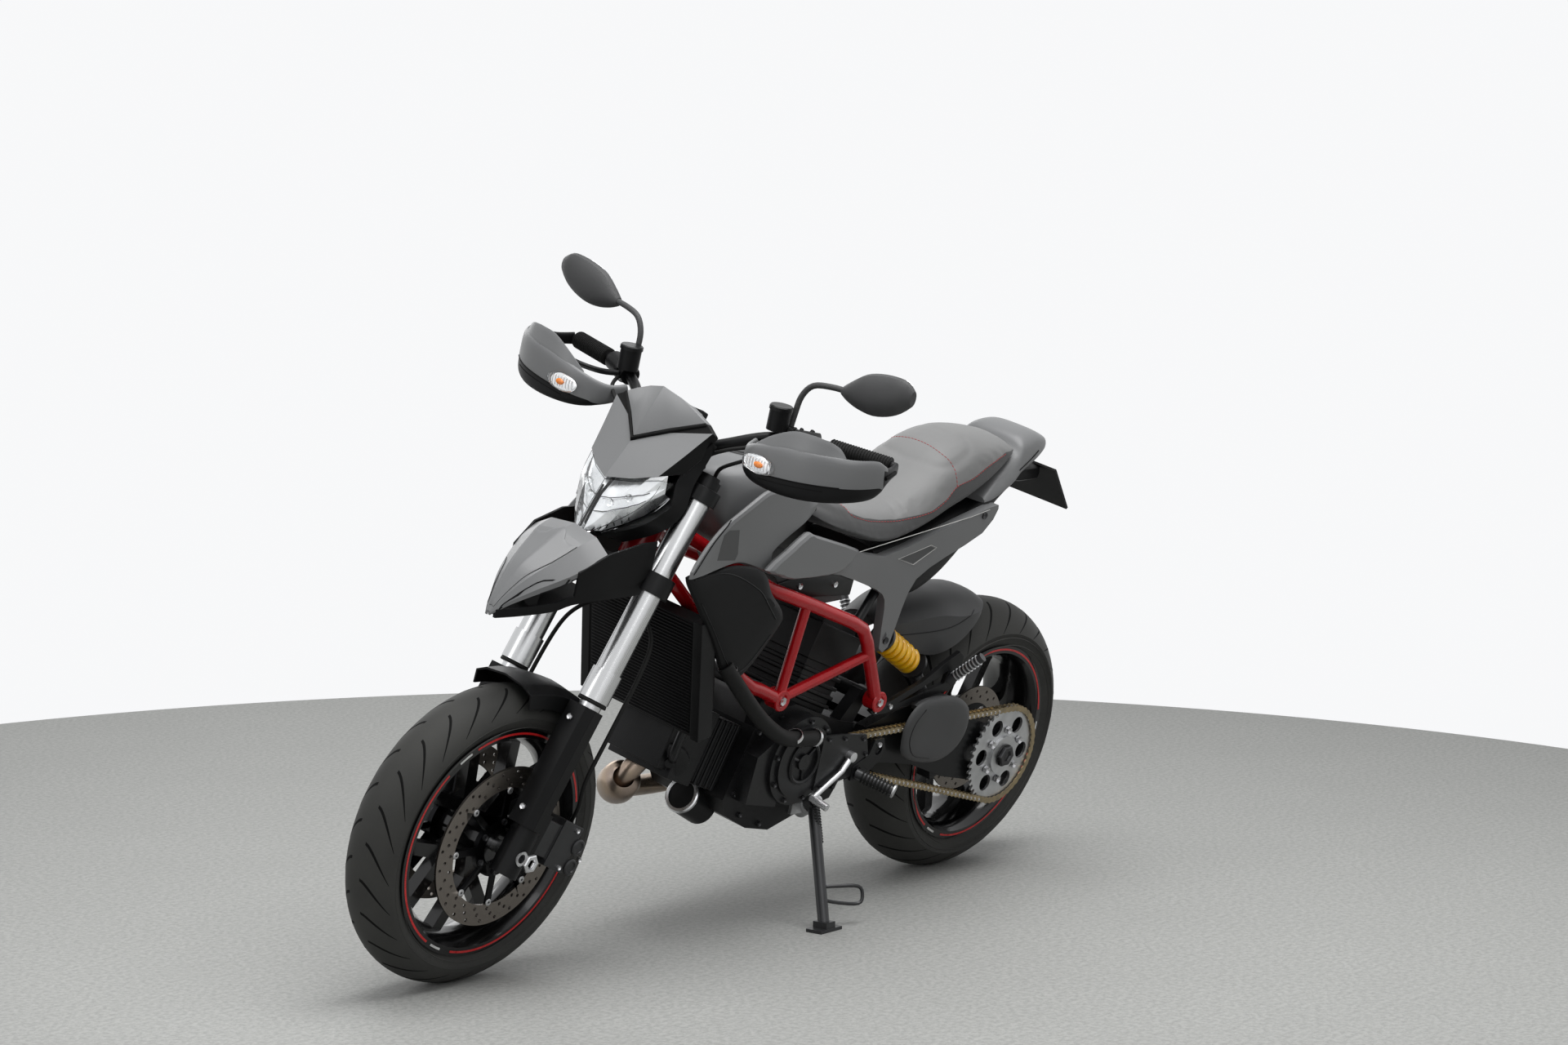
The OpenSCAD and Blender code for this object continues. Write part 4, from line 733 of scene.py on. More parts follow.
for side in (1, -1):
    made = bmesh.new()
    bmesh.ops.create_grid(made, x_segments=10, y_segments=5, size=0.5)
    for vert in made.verts:
        point = between((beakLook["intakeLow"], beakLook["intakeHigh"]), vert.co.y + 0.5, vert.co.x + 0.5)
        point.y *= side
        near = surfaces["beak"].find_nearest(stood @ point)
        vert.co = upright @ near[0] + Vector((0.45, side * 0.8, 0.3)) * 1.6
    closeSheet(bm, made, (0.4, side, 0.2), 1.2, 0)
finishPiece("beakIntakes", bm, "blackPlastic", "beak_sides", 40)
bm = bmesh.new()
addLine(bm, "beak", beakLook["gap"], (-0.2, -0.9, -0.4), beakLook["line"])
finishPiece("beakPartingLines", bm, "darkLine", "beak_sides", 60)

# handguard lips: the shield's upper facet, leaning back over the band
lipLook = {"wall": 3.5, "ease": 0.8,
           "foot": [(446, 224, 1124), (457, 262, 1134), (459, 300, 1143), (457, 340, 1149), (449, 370, 1152),
                    (437, 394, 1153), (424, 412, 1153)],
           "crest": [(443, 226, 1132), (450, 266, 1160), (449, 312, 1182), (444, 350, 1186), (434, 382, 1184),
                     (421, 403, 1176), (413, 416, 1160)]}
lipRuns = [throughPoints(lipLook["foot"], 6), throughPoints(lipLook["crest"], 6)]
bm = bmesh.new()
for side in (1, -1):
    made = bmesh.new()
    bmesh.ops.create_grid(made, x_segments=24, y_segments=4, size=0.5)
    for vert in made.verts:
        point = between(lipRuns, vert.co.y + 0.5, vert.co.x + 0.5)
        vert.co = (point.x, side * point.y, point.z)
    closeSheet(bm, made, (1, 0, 0.3), lipLook["wall"], lipLook["ease"])
finishPiece("handguardLips", bm, "greyBody", "handguards", 40)

# handguards: groove, slot in the arm, lamp bulbs
guardLook = {"groove": 1.5, "grooveFrom": 236, "grooveTo": 420, "slot": 4.2, "bulb": 8.0, "ribs": 9,
             "arm": [(286, 434, 1133), (306, 440, 1131), (330, 444, 1128)]}
bm = bmesh.new()
for side in (1, -1):
    across = [guardLook["grooveFrom"] + k * (guardLook["grooveTo"] - guardLook["grooveFrom"]) / 24
              for k in range(25)]
    run = [(600, side * y, guardEdge(y)) for y in across]
    addTube(bm, laidOn(surfaces["handguards"], run, forward, 0.1), guardLook["groove"])
    addTube(bm, laidOn(surfaces["handguards"], [(x, y, z - 9) for x, y, z in run[3:-3]], forward, 0.1), 0.9)
finishPiece("handguardGrooves", bm, "darkLine", "handguards", 60)
bm = bmesh.new()
for side in (1, -1):
    arm = [sided(p, side) for p in throughPoints(guardLook["arm"], 4)]
    addTube(bm, laidOn(surfaces["handguards"], arm, (0, -side, 0), 0.2), guardLook["slot"])
finishPiece("handguardSlots", bm, "darkLine", "handguards", 60)
bm = bmesh.new()
dish = bmesh.new()
for side in (1, -1):
    bmesh.ops.create_uvsphere(bm, u_segments=14, v_segments=9, radius=guardLook["bulb"],
                              matrix=Matrix.Translation((465, side * 260, 1101))
                              @ Matrix.Diagonal((0.5, 1.3, 0.7, 1)))
    bmesh.ops.create_uvsphere(dish, u_segments=28, v_segments=14, radius=1.0,
                              matrix=Matrix.Translation((459, side * 259, 1101))
                              @ Matrix.Diagonal((4.5, 37, 15, 1)))
    for k in range(guardLook["ribs"]):
        addTube(dish, [(464.2, side * (231 + 7 * k), 1092), (464.2, side * (231 + 7 * k), 1110)], 0.8)
finishPiece("indicatorBulbs", bm, "orangeBulb", "indicators", 30)
finishPiece("indicatorDishes", dish, "reflector", "indicators", 30)
print("beak and handguards")

# mirror glass on the rider's side
mirrorLook = {"lift": 0.3, "wall": 0.8}
bm = bmesh.new()
mirrorSource = skinMesh("mirrors")
addPatch(bm, mirrorSource, lambda p, n: n.x < -0.6 and 314 < abs(p.y) < 444 and p.z > 1225, mirrorLook["lift"],
         mirrorLook["wall"])
finishPiece("mirrorGlasses", bm, "mirrorGlass", "mirrors", 40)
mirrorSource.free()

# instrument panel behind the nose
dashLook = {"corner": (420, -62, 1072), "tilt": -24.0}
dashPlace = Matrix.Translation(dashLook["corner"]) @ Matrix.Rotation(math.radians(dashLook["tilt"]), 4, "Y")
bm = bmesh.new()
made = bmesh.new()
face = made.faces.new([made.verts.new(c) for c in ((-0.8, 10, 8), (-0.8, 114, 8), (-0.8, 114, 58), (-0.8, 10, 58))])
bmesh.ops.inset_region(made, faces=[face], thickness=5.0)
bmesh.ops.translate(made, verts=face.verts[:], vec=(0.6, 0, 0))
bmesh.ops.solidify(made, geom=made.faces[:], thickness=0.6)
bmesh.ops.recalc_face_normals(made, faces=made.faces)
bmesh.ops.transform(made, matrix=dashPlace, verts=made.verts)
put(bm, made)
finishPiece("dashScreen", bm, "screenGlass", "dash", 30)

# bar controls: reservoir caps, clamps, lever balls, switch buttons
bm = bmesh.new()
for side in (1, -1):
    addLathe(bm, [(0, 0), (23, 0), (23, 7), (21, 9), (0, 9)], (352, side * 196, 1182), (0, 0, 1), 32)
    addLathe(bm, [(21.6, 0), (23.4, 0), (23.4, 10), (21.6, 10)], (333, side * 214, 1130), (-0.36, side * 0.93, 0.1),
             28)
    addLathe(bm, [(0, -9), (6, -7), (9, 0), (6, 7), (0, 9)], (317, side * 402, 1108), (-0.3, side, 0), 20)
    addLathe(bm, [(0, 0), (5, 0), (5, 5), (3.5, 6.5), (0, 6.5)], (312, side * 248, 1150), (-0.6, 0, 0.8), 16)
    addLathe(bm, [(0, 0), (4, 0), (4, 4), (3, 5), (0, 5)], (322, side * 230, 1150), (-0.6, 0, 0.8), 16)
finishPiece("barControlCaps", bm, "satinBlack", "controls", 30)
bm = bmesh.new()
gripLook = {"from": (303, 292, 1135), "to": (266, 410, 1134), "rings": 22}
for side in (1, -1):
    a, b = sided(gripLook["from"], side), sided(gripLook["to"], side)
    for k in range(gripLook["rings"]):
        addLathe(bm, [(16.0, -1.1), (18.2, -0.6), (18.2, 0.6), (16.0, 1.1)],
                 a.lerp(b, (k + 0.5) / gripLook["rings"]), b - a, 20)
finishPiece("gripRibs", bm, "rubber", "grips", 40)
cableLook = {"thick": 4.0, "runs": [[(346, 214, 1124), (392, 196, 1112), (424, 150, 1092), (424, 104, 1064),
                                     (392, 74, 1030)],
                                    [(338, 226, 1122), (372, 204, 1098), (398, 158, 1068), (388, 112, 1040),
                                     (366, 84, 1010)],
                                   [(348, -214, 1124), (394, -190, 1112), (422, -140, 1090), (410, -92, 1056)]]}
bm = bmesh.new()
for run in cableLook["runs"]:
    addTube(bm, throughPoints(run, 8), cableLook["thick"], roundness=2)
finishPiece("barCables", bm, "rubber", "brake_hoses", 60)
print("bar fittings")

# fork: pinch bolts, dust wipers, guard screws
bm = bmesh.new()
dark = bmesh.new()
legWay = forkWay(0, 0, 1).normalized()
for side in (1, -1):
    for u, w in ((64, 1071), (64, 1083), (67, 874), (67, 898)):
        stamp(bm, socketBolt, forkPoint(u, side * 92, w), forkWay(1, 0, 0), (5.5, 5.5, 7))
    addLathe(dark, [(21, 0), (28.5, 0), (29.5, 3), (28, 9), (21, 9)], forkPoint(35.3, side * 105, 632), legWay, 36)
    for w in (592, 404):
        stamp(bm, socketBolt, forkPoint(78, side * 108, w), forkWay(0.9, side * 0.3, 0), (6, 6, 4))
finishPiece("forkBolts", bm, "boltSteel", "fork_legs", 30)
finishPiece("forkWipers", dark, "rubber", "fork_legs", 30)

# front calipers: piston caps and bridge bolts
bm = bmesh.new()
shiny = bmesh.new()
for side in (1, -1):
    for u, w in ((-128, 340), (-122, 380)):
        addLathe(bm, [(0, 0), (17, 0), (17, 3), (14, 5), (11, 5), (10, 3), (0, 3)],
                 forkPoint(u, side * 114.5, w), (0, side, 0), 28)
    for u, w in ((-96, 330), (-142, 360), (-96, 408)):
        stamp(shiny, socketBolt, forkPoint(u, side * 114.5, w), (0, side, 0), (5, 5, 5))
finishPiece("caliperPistonCaps", bm, "darkMetal", "front_calipers", 30)
finishPiece("caliperBolts", shiny, "boltSteel", "front_calipers", 30)
print("fork and calipers")

# wheels: broken stripe on the rims, bobbins and bolts on the discs, near-black strips on the tread as painted shade
# of its grooves
wheelLook = {"stripeIn": 218.6, "stripeOut": 222.8, "repeat": 3, "red": 100.0, "pale": 8.0, "gap": 4.0,
             "front": {"hub": frontHub, "side": 51.7, "crown": 62.0, "radius": 300.0, "grooveShades": 26},
             "rear": {"hub": rearHub, "side": 77.2, "crown": 95.0, "radius": 316.0, "grooveShades": 26}}
for key in ("front", "rear"):
    wheel = wheelLook[key]
    red = bmesh.new()
    pale = bmesh.new()
    band = [(wheelLook["stripeIn"], -0.2), (wheelLook["stripeOut"], -0.2), (wheelLook["stripeOut"], 0.45),
            (wheelLook["stripeIn"], 0.45)]
    for side in (1, -1):
        for k in range(wheelLook["repeat"]):
            start = 360.0 * k / wheelLook["repeat"] + 14
            centre = wheel["hub"] + Vector((0, side * wheel["side"], 0))
            addLathe(red, band, centre, (0, side, 0), 40, wheelLook["red"], start)
            addLathe(pale, band, centre, (0, side, 0), 6, wheelLook["pale"],
                     start + wheelLook["red"] + wheelLook["gap"])
    finishPiece(key + "RimRedStripes", red, "redStripe", key + "_rim", 30)
    finishPiece(key + "RimPaleStripes", pale, "paleStripe", key + "_rim", 30)
    grooveShades = bmesh.new()
    made = bmesh.new()
    bmesh.ops.create_grid(made, x_segments=1, y_segments=9, size=0.5)
    for vert in made.verts:  # a tapered strip bent over the tread, near-black: painted shade of a groove
        t = vert.co.y + 0.5
        lean = math.radians(12 + 52 * t)
        reach = wheel["radius"] - wheel["crown"] + (wheel["crown"] + 0.25) * math.cos(lean)
        turn = math.radians(1 + 15 * t ** 1.5) + vert.co.x * (1.9 - 1.3 * t + 1.2 * math.sin(math.pi * t)) / 100
        vert.co = (reach * math.sin(turn), (wheel["crown"] + 0.25) * math.sin(lean), reach * math.cos(turn))
    bmesh.ops.recalc_face_normals(made, faces=made.faces)
    bmesh.ops.solidify(made, geom=made.faces[:], thickness=0.7)
    strip = bpy.data.meshes.new("groove")
    bmesh.ops.recalc_face_normals(made, faces=made.faces)
    made.to_mesh(strip)
    made.free()
    for k in range(wheel["grooveShades"]):
        for side in (1, -1):
            spun = Matrix.Rotation(2 * math.pi * (k + (0.5 if side < 0 else 0)) / wheel["grooveShades"], 4, "Y")
            addMoved(grooveShades, strip, Matrix.Translation(wheel["hub"]) @ spun @ Matrix.Diagonal((1, side, 1, 1)))
    bmesh.ops.recalc_face_normals(grooveShades, faces=grooveShades.faces)
    finishPiece(key + "TreadGrooveShade", grooveShades, "sipe", key + "_tyre", 40)
    bpy.data.meshes.remove(strip)
    wall = bmesh.new()
    for side in (1, -1):  # moulded rings on the sidewall
        for reach in (236, 252):
            lean = math.acos(max(-1, min(1, (reach - wheel["radius"] + wheel["crown"]) / wheel["crown"])))
            addLathe(wall, [(reach - 1, -1.2), (reach, 0.6), (reach + 1, -1.2)],
                     wheel["hub"] + Vector((0, side * wheel["crown"] * math.sin(lean) * 0.995, 0)), (0, side, 0),
                     96)
    finishPiece(key + "SidewallRings", wall, "treadRubber", key + "_tyre", 40)

discLook = {"bobbin": 114.0, "bolt": 51.0, "face": 68.2,
            "bobbinProfile": [(2.4, 0), (7, 0), (7, 1.6), (5.8, 2.4), (2.4, 2.4)]}
bm = bmesh.new()
steel = bmesh.new()
for side in (1, -1):
    for x, z in roundPlaces(8, discLook["bobbin"]):
        addLathe(bm, discLook["bobbinProfile"], frontHub + Vector((x, side * discLook["face"], z)), (0, side, 0),
                 18)
    for x, z in roundPlaces(6, discLook["bolt"], 30):
        stamp(steel, socketBolt, frontHub + Vector((x, side * discLook["face"], z)), (0, side, 0), (6.5, 6.5, 4))
finishPiece("frontDiscBobbins", bm, "castAlloy", "front_discs", 30)
finishPiece("frontDiscBolts", steel, "boltBlack", "front_discs", 30)
bm = bmesh.new()
for side in (1, -1):
    addLathe(bm, [(9.5, 0), (19, 0), (19, 5), (17, 7), (11, 7), (9.5, 4)], (750, side * 150.0, 300), (0, side, 0),
             6 if side > 0 else 36)
finishPiece("frontAxleNuts", bm, "alloy", "front_axle", 30)
print("wheels")

# seat: a stuffed pad, swollen by cloth, with sewn channels and thread along them
seatLook = {"voxel": 0.005, "shrink": 2.5, "pressure": 4.0, "steps": 20, "cap": 6.0, "channel": 1.8,
            "channelWidth": 5.0, "fold": 2.2, "foldWidth": 10.0, "stitch": 5.5, "pitch": 8.5,
            "side": [(-100, 0, 912), (-84, 83, 908), (-122, 100, 897), (-172, 104, 891), (-218, 111, 891),
                     (-276, 118, 897),
                     (-324, 122, 905), (-368, 120, 925), (-403, 114, 951), (-460, 110, 964), (-521, 102, 987),
                     (-589, 90, 1008)],
            "arc": [(-403, 113, 954), (-400, 103, 975), (-398, 89, 992), (-390, 57, 1007), (-391, 17, 1014)],
            "crease": [(-348, 0, 981), (-362, 70, 984), (-393, 88, 990), (-419, 88, 999), (-461, 78, 1017),
                       (-470, 50, 1031)]}


def seamHeight(p):  # how far a point is above the side seam
    run = seatLook["side"][1:]
    for a, b in zip(run, run[1:]):
        if b[0] <= p.x <= a[0]:
            height = p.z - (a[2] + (b[2] - a[2]) * (a[0] - p.x) / (a[0] - b[0]))
            return min(height, -86 - p.x + 0.1 * abs(p.y)) if p.x > -130 else height
    return -86 - p.x if p.x > -120 else p.z - 1008


bm = solidMesh("seat")
for vert in bm.verts:
    vert.co -= vert.normal * seatLook["shrink"]
seat = finishPiece("seatPad", bm, "seatVinyl", "seat", 180)
addModifier(seat, "REMESH", mode="VOXEL", voxel_size=seatLook["voxel"])
remeshed = bpy.data.meshes.new_from_object(seat.evaluated_get(bpy.context.evaluated_depsgraph_get()))
seat.modifiers.clear()
seat.data = remeshed
flatPad = [v.co.copy() for v in seat.data.vertices]
cloth = addModifier(seat, "CLOTH")
cloth.settings.use_pressure = True
cloth.settings.uniform_pressure_force = seatLook["pressure"]
cloth.settings.effector_weights.gravity = 0.0
cloth.point_cache.frame_end = seatLook["steps"]
for step in range(1, seatLook["steps"] + 1):
    scene.frame_set(step)
swollen = seat.evaluated_get(bpy.context.evaluated_depsgraph_get()).to_mesh()
swollenPoints = [v.co.copy() for v in swollen.vertices]
seat.modifiers.clear()
scene.frame_set(1)
seams = KDTree(400)
softSeams = KDTree(400)
seamRuns = [throughPoints(seatLook["side"], 10), mirroredPoints(throughPoints(seatLook["side"], 10)),
            throughPoints(seatLook["arc"] + [(x, -y, z) for x, y, z in reversed(seatLook["arc"])], 8)]
creaseRuns = [throughPoints(seatLook["crease"], 8), mirroredPoints(throughPoints(seatLook["crease"], 8))]
for tree, runs in ((seams, seamRuns), (softSeams, creaseRuns)):
    for i, point in enumerate([p for run in runs for p in run]):
        tree.insert(point, i)
    tree.balance()
bm = bmesh.new()
bm.from_mesh(seat.data)
bm.verts.ensure_lookup_table()
bm.normal_update()
for vert, flat, full in zip(bm.verts, flatPad, swollenPoints):
    move = full - flat
    reach = move.length * 1000
    down = max(0.0, -uprightWay(vert.normal).z)
    vert.co = flat + (move * min(1.0, seatLook["cap"] / reach) if reach else move) * (1 - min(1.0, 1.6 * down))
bmesh.ops.smooth_vert(bm, verts=bm.verts, factor=0.5, use_axis_x=True, use_axis_y=True, use_axis_z=True)
bm.normal_update()
for vert in bm.verts:
    place = upright @ vert.co
    gap = seams.find(place)[2] / seatLook["channelWidth"]
    soft = softSeams.find(place)[2] / seatLook["foldWidth"]
    sunk = seatLook["channel"] * math.exp(-gap * gap) + seatLook["fold"] * math.exp(-soft * soft)
    vert.co -= vert.normal * stance["millimetre"] * sunk
height = bm.verts.layers.float.new("seamHeight")
for vert in bm.verts:
    vert[height] = seamHeight(upright @ vert.co)
for face in bm.faces:
    face.smooth = True
bm.to_mesh(seat.data)
bm.free()
if not seat.data.materials:
    seat.data.materials.append(mats["seatVinyl"])
addModifier(seat, "SUBSURF", levels=1, render_levels=1)
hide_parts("seat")
seatSurface = surfaceOf(seat)
thread = bmesh.new()
made = bmesh.new()
bmesh.ops.create_cone(made, cap_ends=True, segments=6, radius1=0.8, radius2=0.8, depth=seatLook["stitch"])
bmesh.ops.bevel(made, geom=made.edges[:], offset=0.3, affect="EDGES", segments=1, profile=0.5, material=-1)
stitchShape = bpy.data.meshes.new("stitch")
made.to_mesh(stitchShape)
made.free()
for run in seamRuns:
    laid = []
    for point in run:
        near = seatSurface.find_nearest(stood @ point)
        laid.append(upright @ near[0] + uprightWay(near[1]) * 0.35)
    since = 0.0
    for a, b in zip(laid, laid[1:]):
        span = (b - a).length
        while since < span:
            stamp(thread, stitchShape, a.lerp(b, since / span), b - a)
            since += seatLook["pitch"]
        since -= span
finishPiece("seatStitching", thread, "redThread", "seat", 40)
bpy.data.meshes.remove(stitchShape)
print("seat")

# tank: filler cap, flank lines and a darker grey panel of painted shade in each wing's recess
tankLook = {"cap": (206, 0, 1029), "capWay": (-0.03, 0, 1),
            "frontLine": [(334, 150, 980), (361, 156, 965), (429, 167, 915), (478, 166, 854)],
            "recess": [(352, 170, 930), (388, 170, 934), (404, 169, 926), (410, 169, 876), (346, 170, 868),
                       (340, 171, 880)],
            "seatLine": [(196, 172, 822), (204, 168, 846), (206, 166, 862), (170, 158, 884), (126, 148, 903),
                         (84, 138, 922), (66, 130, 946)]}
bm = bmesh.new()
addLathe(bm, [(0, -6), (45, -6), (45, 3), (43, 5), (36, 5.5), (34, 4), (31, 4), (29, 6.5), (0, 7.5)],
         tankLook["cap"], tankLook["capWay"], 64)
for x, y in roundPlaces(6, 40):
    stamp(bm, socketBolt, (206 + x, y, 1034 - 0.03 * x), tankLook["capWay"], (3.4, 3.4, 2.4))
finishPiece("fillerCap", bm, "satinBlack", "tank", 30)
bm = bmesh.new()
addLine(bm, "shrouds", tankLook["frontLine"], (-0.2, -0.95, -0.2), 1.3)
addLine(bm, "shrouds", tankLook["seatLine"], fromLeft, 1.2)
finishPiece("wingDarkLines", bm, "darkLine", "shrouds", 60)


def addPanel(bm, surface, outline, way, lift, thick, steps=3):  # a thin panel lying on a surface
    for mirror in (1, -1):
        rim = laidOn(surfaces[surface], throughPoints([(x, mirror * y, z) for x, y, z in outline], steps, True),
                     (way[0], way[1] * mirror, way[2]), lift)
        if len(rim) < 4:
            continue
        made = bmesh.new()
        fan = made.faces.new([made.verts.new(p) for p in rim])
        bmesh.ops.triangulate(made, faces=[fan])
        bmesh.ops.subdivide_edges(made, edges=made.edges[:], cuts=1, use_grid_fill=True)
        for vert in made.verts:
            seat = surfaces[surface].find_nearest(stood @ vert.co)
            vert.co = upright @ seat[0] + uprightWay(seat[1]) * lift
        bmesh.ops.recalc_face_normals(made, faces=made.faces)
        if sum(f.normal.y * f.calc_area() for f in made.faces) * mirror < 0:
            bmesh.ops.reverse_faces(made, faces=made.faces)
        bmesh.ops.solidify(made, geom=made.faces[:], thickness=thick)
        bmesh.ops.recalc_face_normals(made, faces=made.faces)
        put(bm, made)


# a thin darker grey panel on each wing's recess: painted shade of the fold
bm = bmesh.new()
addPanel(bm, "shrouds", tankLook["recess"], fromLeft, 0.3, 0.6, 1)
finishPiece("wingPaintedShade", bm, "foldGrey", "shrouds", 40)
coverPlate = {"outline": [(146, 786), (60, 798), (-60, 797), (-104, 786), (-100, 741), (51, 750)],
              "inner": 109, "outer": 119, "ease": 3, "bolts": [(74, 118.5, 777), (-40, 118.5, 771)]}
bm = bmesh.new()
addBothBolts(bm, socketBolt, [(place, outward) for place in coverPlate["bolts"]], (7, 7, 4))
finishPiece("sideCoverBolts", bm, "boltSteel", "tail_panels", 30)
bm = bmesh.new()
for side in (1, -1):
    addSlab(bm, coverPlate["outline"], side * coverPlate["inner"], side * coverPlate["outer"], coverPlate["ease"])
finishPiece("sideCovers", bm, "satinBlack", "airbox", 30)
shroudEdges = [([(462, 160, 840), (367, 161, 846), (270, 170, 806), (230, 172, 770), (198, 173, 738)], 1.3),
               ([(428, 160, 790), (372, 162, 726), (306, 165, 648), (262, 165, 640), (200, 165, 706)], 1.1)]
bm = bmesh.new()
for run, radius in shroudEdges:
    addLine(bm, "lower_shrouds", run, fromLeft, radius)
finishPiece("lowerShroudEdges", bm, "satinBlack", "lower_shrouds", 60)

# tail: pale edge lines, a bordered inset with painted shade on its sunk middle, and bolts
tailLook = {"upper": [(-94, 122, 836), (-183, 122, 822), (-282, 122, 845), (-385, 122, 870), (-520, 122, 896)],
            "inset": [(-233, 122, 809), (-337, 122, 831), (-359, 122, 824), (-289, 122, 792)],
            "sunk": [(-240, 122, 809), (-336, 122, 829), (-352, 122, 823), (-288, 122, 795)],
            "strip": [(-645, 91, 966), (-680, 88, 984), (-713, 82, 1004)],
            "bolts": [(-252, 121.5, 628), (-505, 121.5, 884)], "ribs": 9, "ribPitch": 11}
bm = bmesh.new()
addLine(bm, "tail_panels", tailLook["upper"], fromLeft, 0.9)
addLine(bm, "tail_panels", tailLook["inset"], fromLeft, 0.9, cyclic=True, steps=1)
finishPiece("tailPaleLines", bm, "paleEdge", "tail_panels", 60)
# a thin darker grey panel over the sunk inset: painted shade of the recess
bm = bmesh.new()
addPanel(bm, "tail_panels", tailLook["sunk"], fromLeft, 0.25, 0.5, 1)
finishPiece("tailInsetShade", bm, "foldGrey", "tail_panels", 40)
bm = bmesh.new()
addLine(bm, "tail_unit", tailLook["strip"], fromLeft, 1.4)
finishPiece("tailUnitLines", bm, "darkLine", "tail_unit", 60)
bm = bmesh.new()
addBothBolts(bm, socketBolt, [(place, outward) for place in tailLook["bolts"]], (8, 8, 4))
for y in (-60, 60):
    stamp(bm, socketBolt, (-806, y, 946), (-0.75, 0, -0.65), (5, 5, 3))
finishPiece("tailBolts", bm, "boltBlack", "tail_panels", 30)
bm = bmesh.new()
for k in range(tailLook["ribs"]):
    y = tailLook["ribPitch"] * (k - tailLook["ribs"] // 2)
    addTube(bm, [(-760 - (12 if abs(y) < 40 else 6), y, 1010), (-768, y, 1020)], 1.2)
finishPiece("tailLightRibs", bm, "redLens", "tail_light", 40)
print("tank, wings and tail")

# frame: boss rings and bolts
frameLook = {"front": (78, 140, 540), "rear": (-254, 140, 497)}
bm = bmesh.new()
steel = bmesh.new()
for side in (1, -1):
    for x, y, z in (frameLook["front"], frameLook["rear"]):
        addLathe(bm, [(12, -1), (22.5, -1), (23, 1), (21, 3.5), (14, 3.5), (12, 1.5)], (x, side * y, z),
                 (0, side, 0), 40)
        stamp(steel, hexBolt, (x, side * (y - 0.5), z), (0, side, 0), (10, 10, 6))
finishPiece("frameBossRings", bm, "frameRed", "frame", 30)
finishPiece("frameBossBolts", steel, "boltSteel", "frame", 30)

# pivot ring, hanger and lever bolts, peg pads and teeth
hangerLook = {"pivot": (-264, 153.5, 396),
              "bolts": [(-205, 159, 351), (-262, 159, 408), (-300, 137, 481), (-500, 137, 530), (-250, 137, 478)]}
bm = bmesh.new()
dark = bmesh.new()
steel = bmesh.new()
for side in (1, -1):
    place, way = sided(hangerLook["pivot"], side), (0, side, 0)
    addLathe(bm, [(13, 0), (22, 0), (22, 3), (19, 5), (15, 5), (13, 3)], place, way, 36)
    addLathe(dark, [(0, 0), (13.5, 0), (13.5, 1.5), (8, 2), (7, 0.6), (0, 0.6)], place, way, 28)
addBothBolts(steel, socketBolt, [(place, outward) for place in hangerLook["bolts"]], (6, 6, 4))
finishPiece("pivotRings", bm, "alloy", "hangers", 30)
finishPiece("pivotCaps", dark, "satinBlack", "hangers", 30)
finishPiece("hangerBolts", steel, "boltSteel", "hangers", 30)
pegLook = {"root": (-205, 160, 351), "tip": (-241, 236, 336), "ribs": 9,
           "rearRoot": (-494, 137, 516), "rearTip": (-512, 196, 590), "rearRibs": 8}
bm = bmesh.new()
teeth = bmesh.new()
for side in (1, -1):
    a, b = sided(pegLook["root"], side), sided(pegLook["tip"], side)
    for k in range(pegLook["ribs"]):
        addLathe(bm, [(9, -2.2), (15.5, -1.6), (15.5, 1.6), (9, 2.2)], a.lerp(b, 0.16 + 0.8 * k / pegLook["ribs"]),
                 b - a, 18)
    addLathe(teeth, [(0, 0), (15, 0), (15, 3), (12, 4.5), (0, 4.5)], b - (b - a).normalized() * 2, b - a, 24)
    c, d = sided(pegLook["rearRoot"], side), sided(pegLook["rearTip"], side)
    for k in range(pegLook["rearRibs"]):
        addLathe(teeth, [(8, -2), (12.4, -1), (12.4, 1), (8, 2)], c.lerp(d, 0.22 + 0.74 * k / pegLook["rearRibs"]),
                 d - c, 12)
finishPiece("pegRubbers", bm, "rubber", "footpegs", 30)
finishPiece("pegTeeth", teeth, "castAlloy", "footpegs", 30)
print("frame, hangers and pegs")

# engine: bolts round the covers, a recess ring, hose clamps, filter rim, fins of the radiator
engineLook = {"chainCoverFace": 156.6, "caseFace": 103.6,
              "chainCoverBolts": [(-88, 338), (-140, 347), (-206, 361), (-222, 392), (-204, 428), (-140, 437),
                                  (-86, 442)],
              "caseBolts": [(-205, 300), (-120, 268), (20, 250), (90, 280), (122, 330), (84, 460), (20, 486)],
              "filter": (112, 20, 268), "filterTilt": 62.0, "filterReach": 71,
              "clamps": [((45, 165, 468), (-0.6, 0, -0.75)), ((300, 162, 640), (0.25, 0, 1)),
                         ((-30, 160.5, 455), (-0.9, 0, -0.35))]}
coverLook = {"left": {"x": -24, "z": 398, "face": 145.6, "reach": 87, "bolts": 9, "start": 12},
             "right": {"x": -40, "z": 392, "face": -149.6, "reach": 90, "bolts": 10, "start": 5}}
bm = bmesh.new()
for cover in coverLook.values():
    for x, z in roundPlaces(cover["bolts"], cover["reach"], cover["start"]):
        stamp(bm, socketBolt, (cover["x"] + x, cover["face"], cover["z"] + z), (0, cover["face"], 0), (5.5, 5.5, 6))
for x, z in engineLook["chainCoverBolts"]:
    stamp(bm, socketBolt, (x, engineLook["chainCoverFace"], z), outward, (5, 5, 5))
addBothBolts(bm, socketBolt, [((x, engineLook["caseFace"], z), outward) for x, z in engineLook["caseBolts"]],
             (6, 6, 6))
finishPiece("engineBolts", bm, "boltBlack", "engine_covers", 30)
bm = bmesh.new()
addLathe(bm, [(40, 0), (48, 0), (48, 4), (44, 6), (40, 4)], (-24, 151.4, 398), (0, 1, 0), 48)
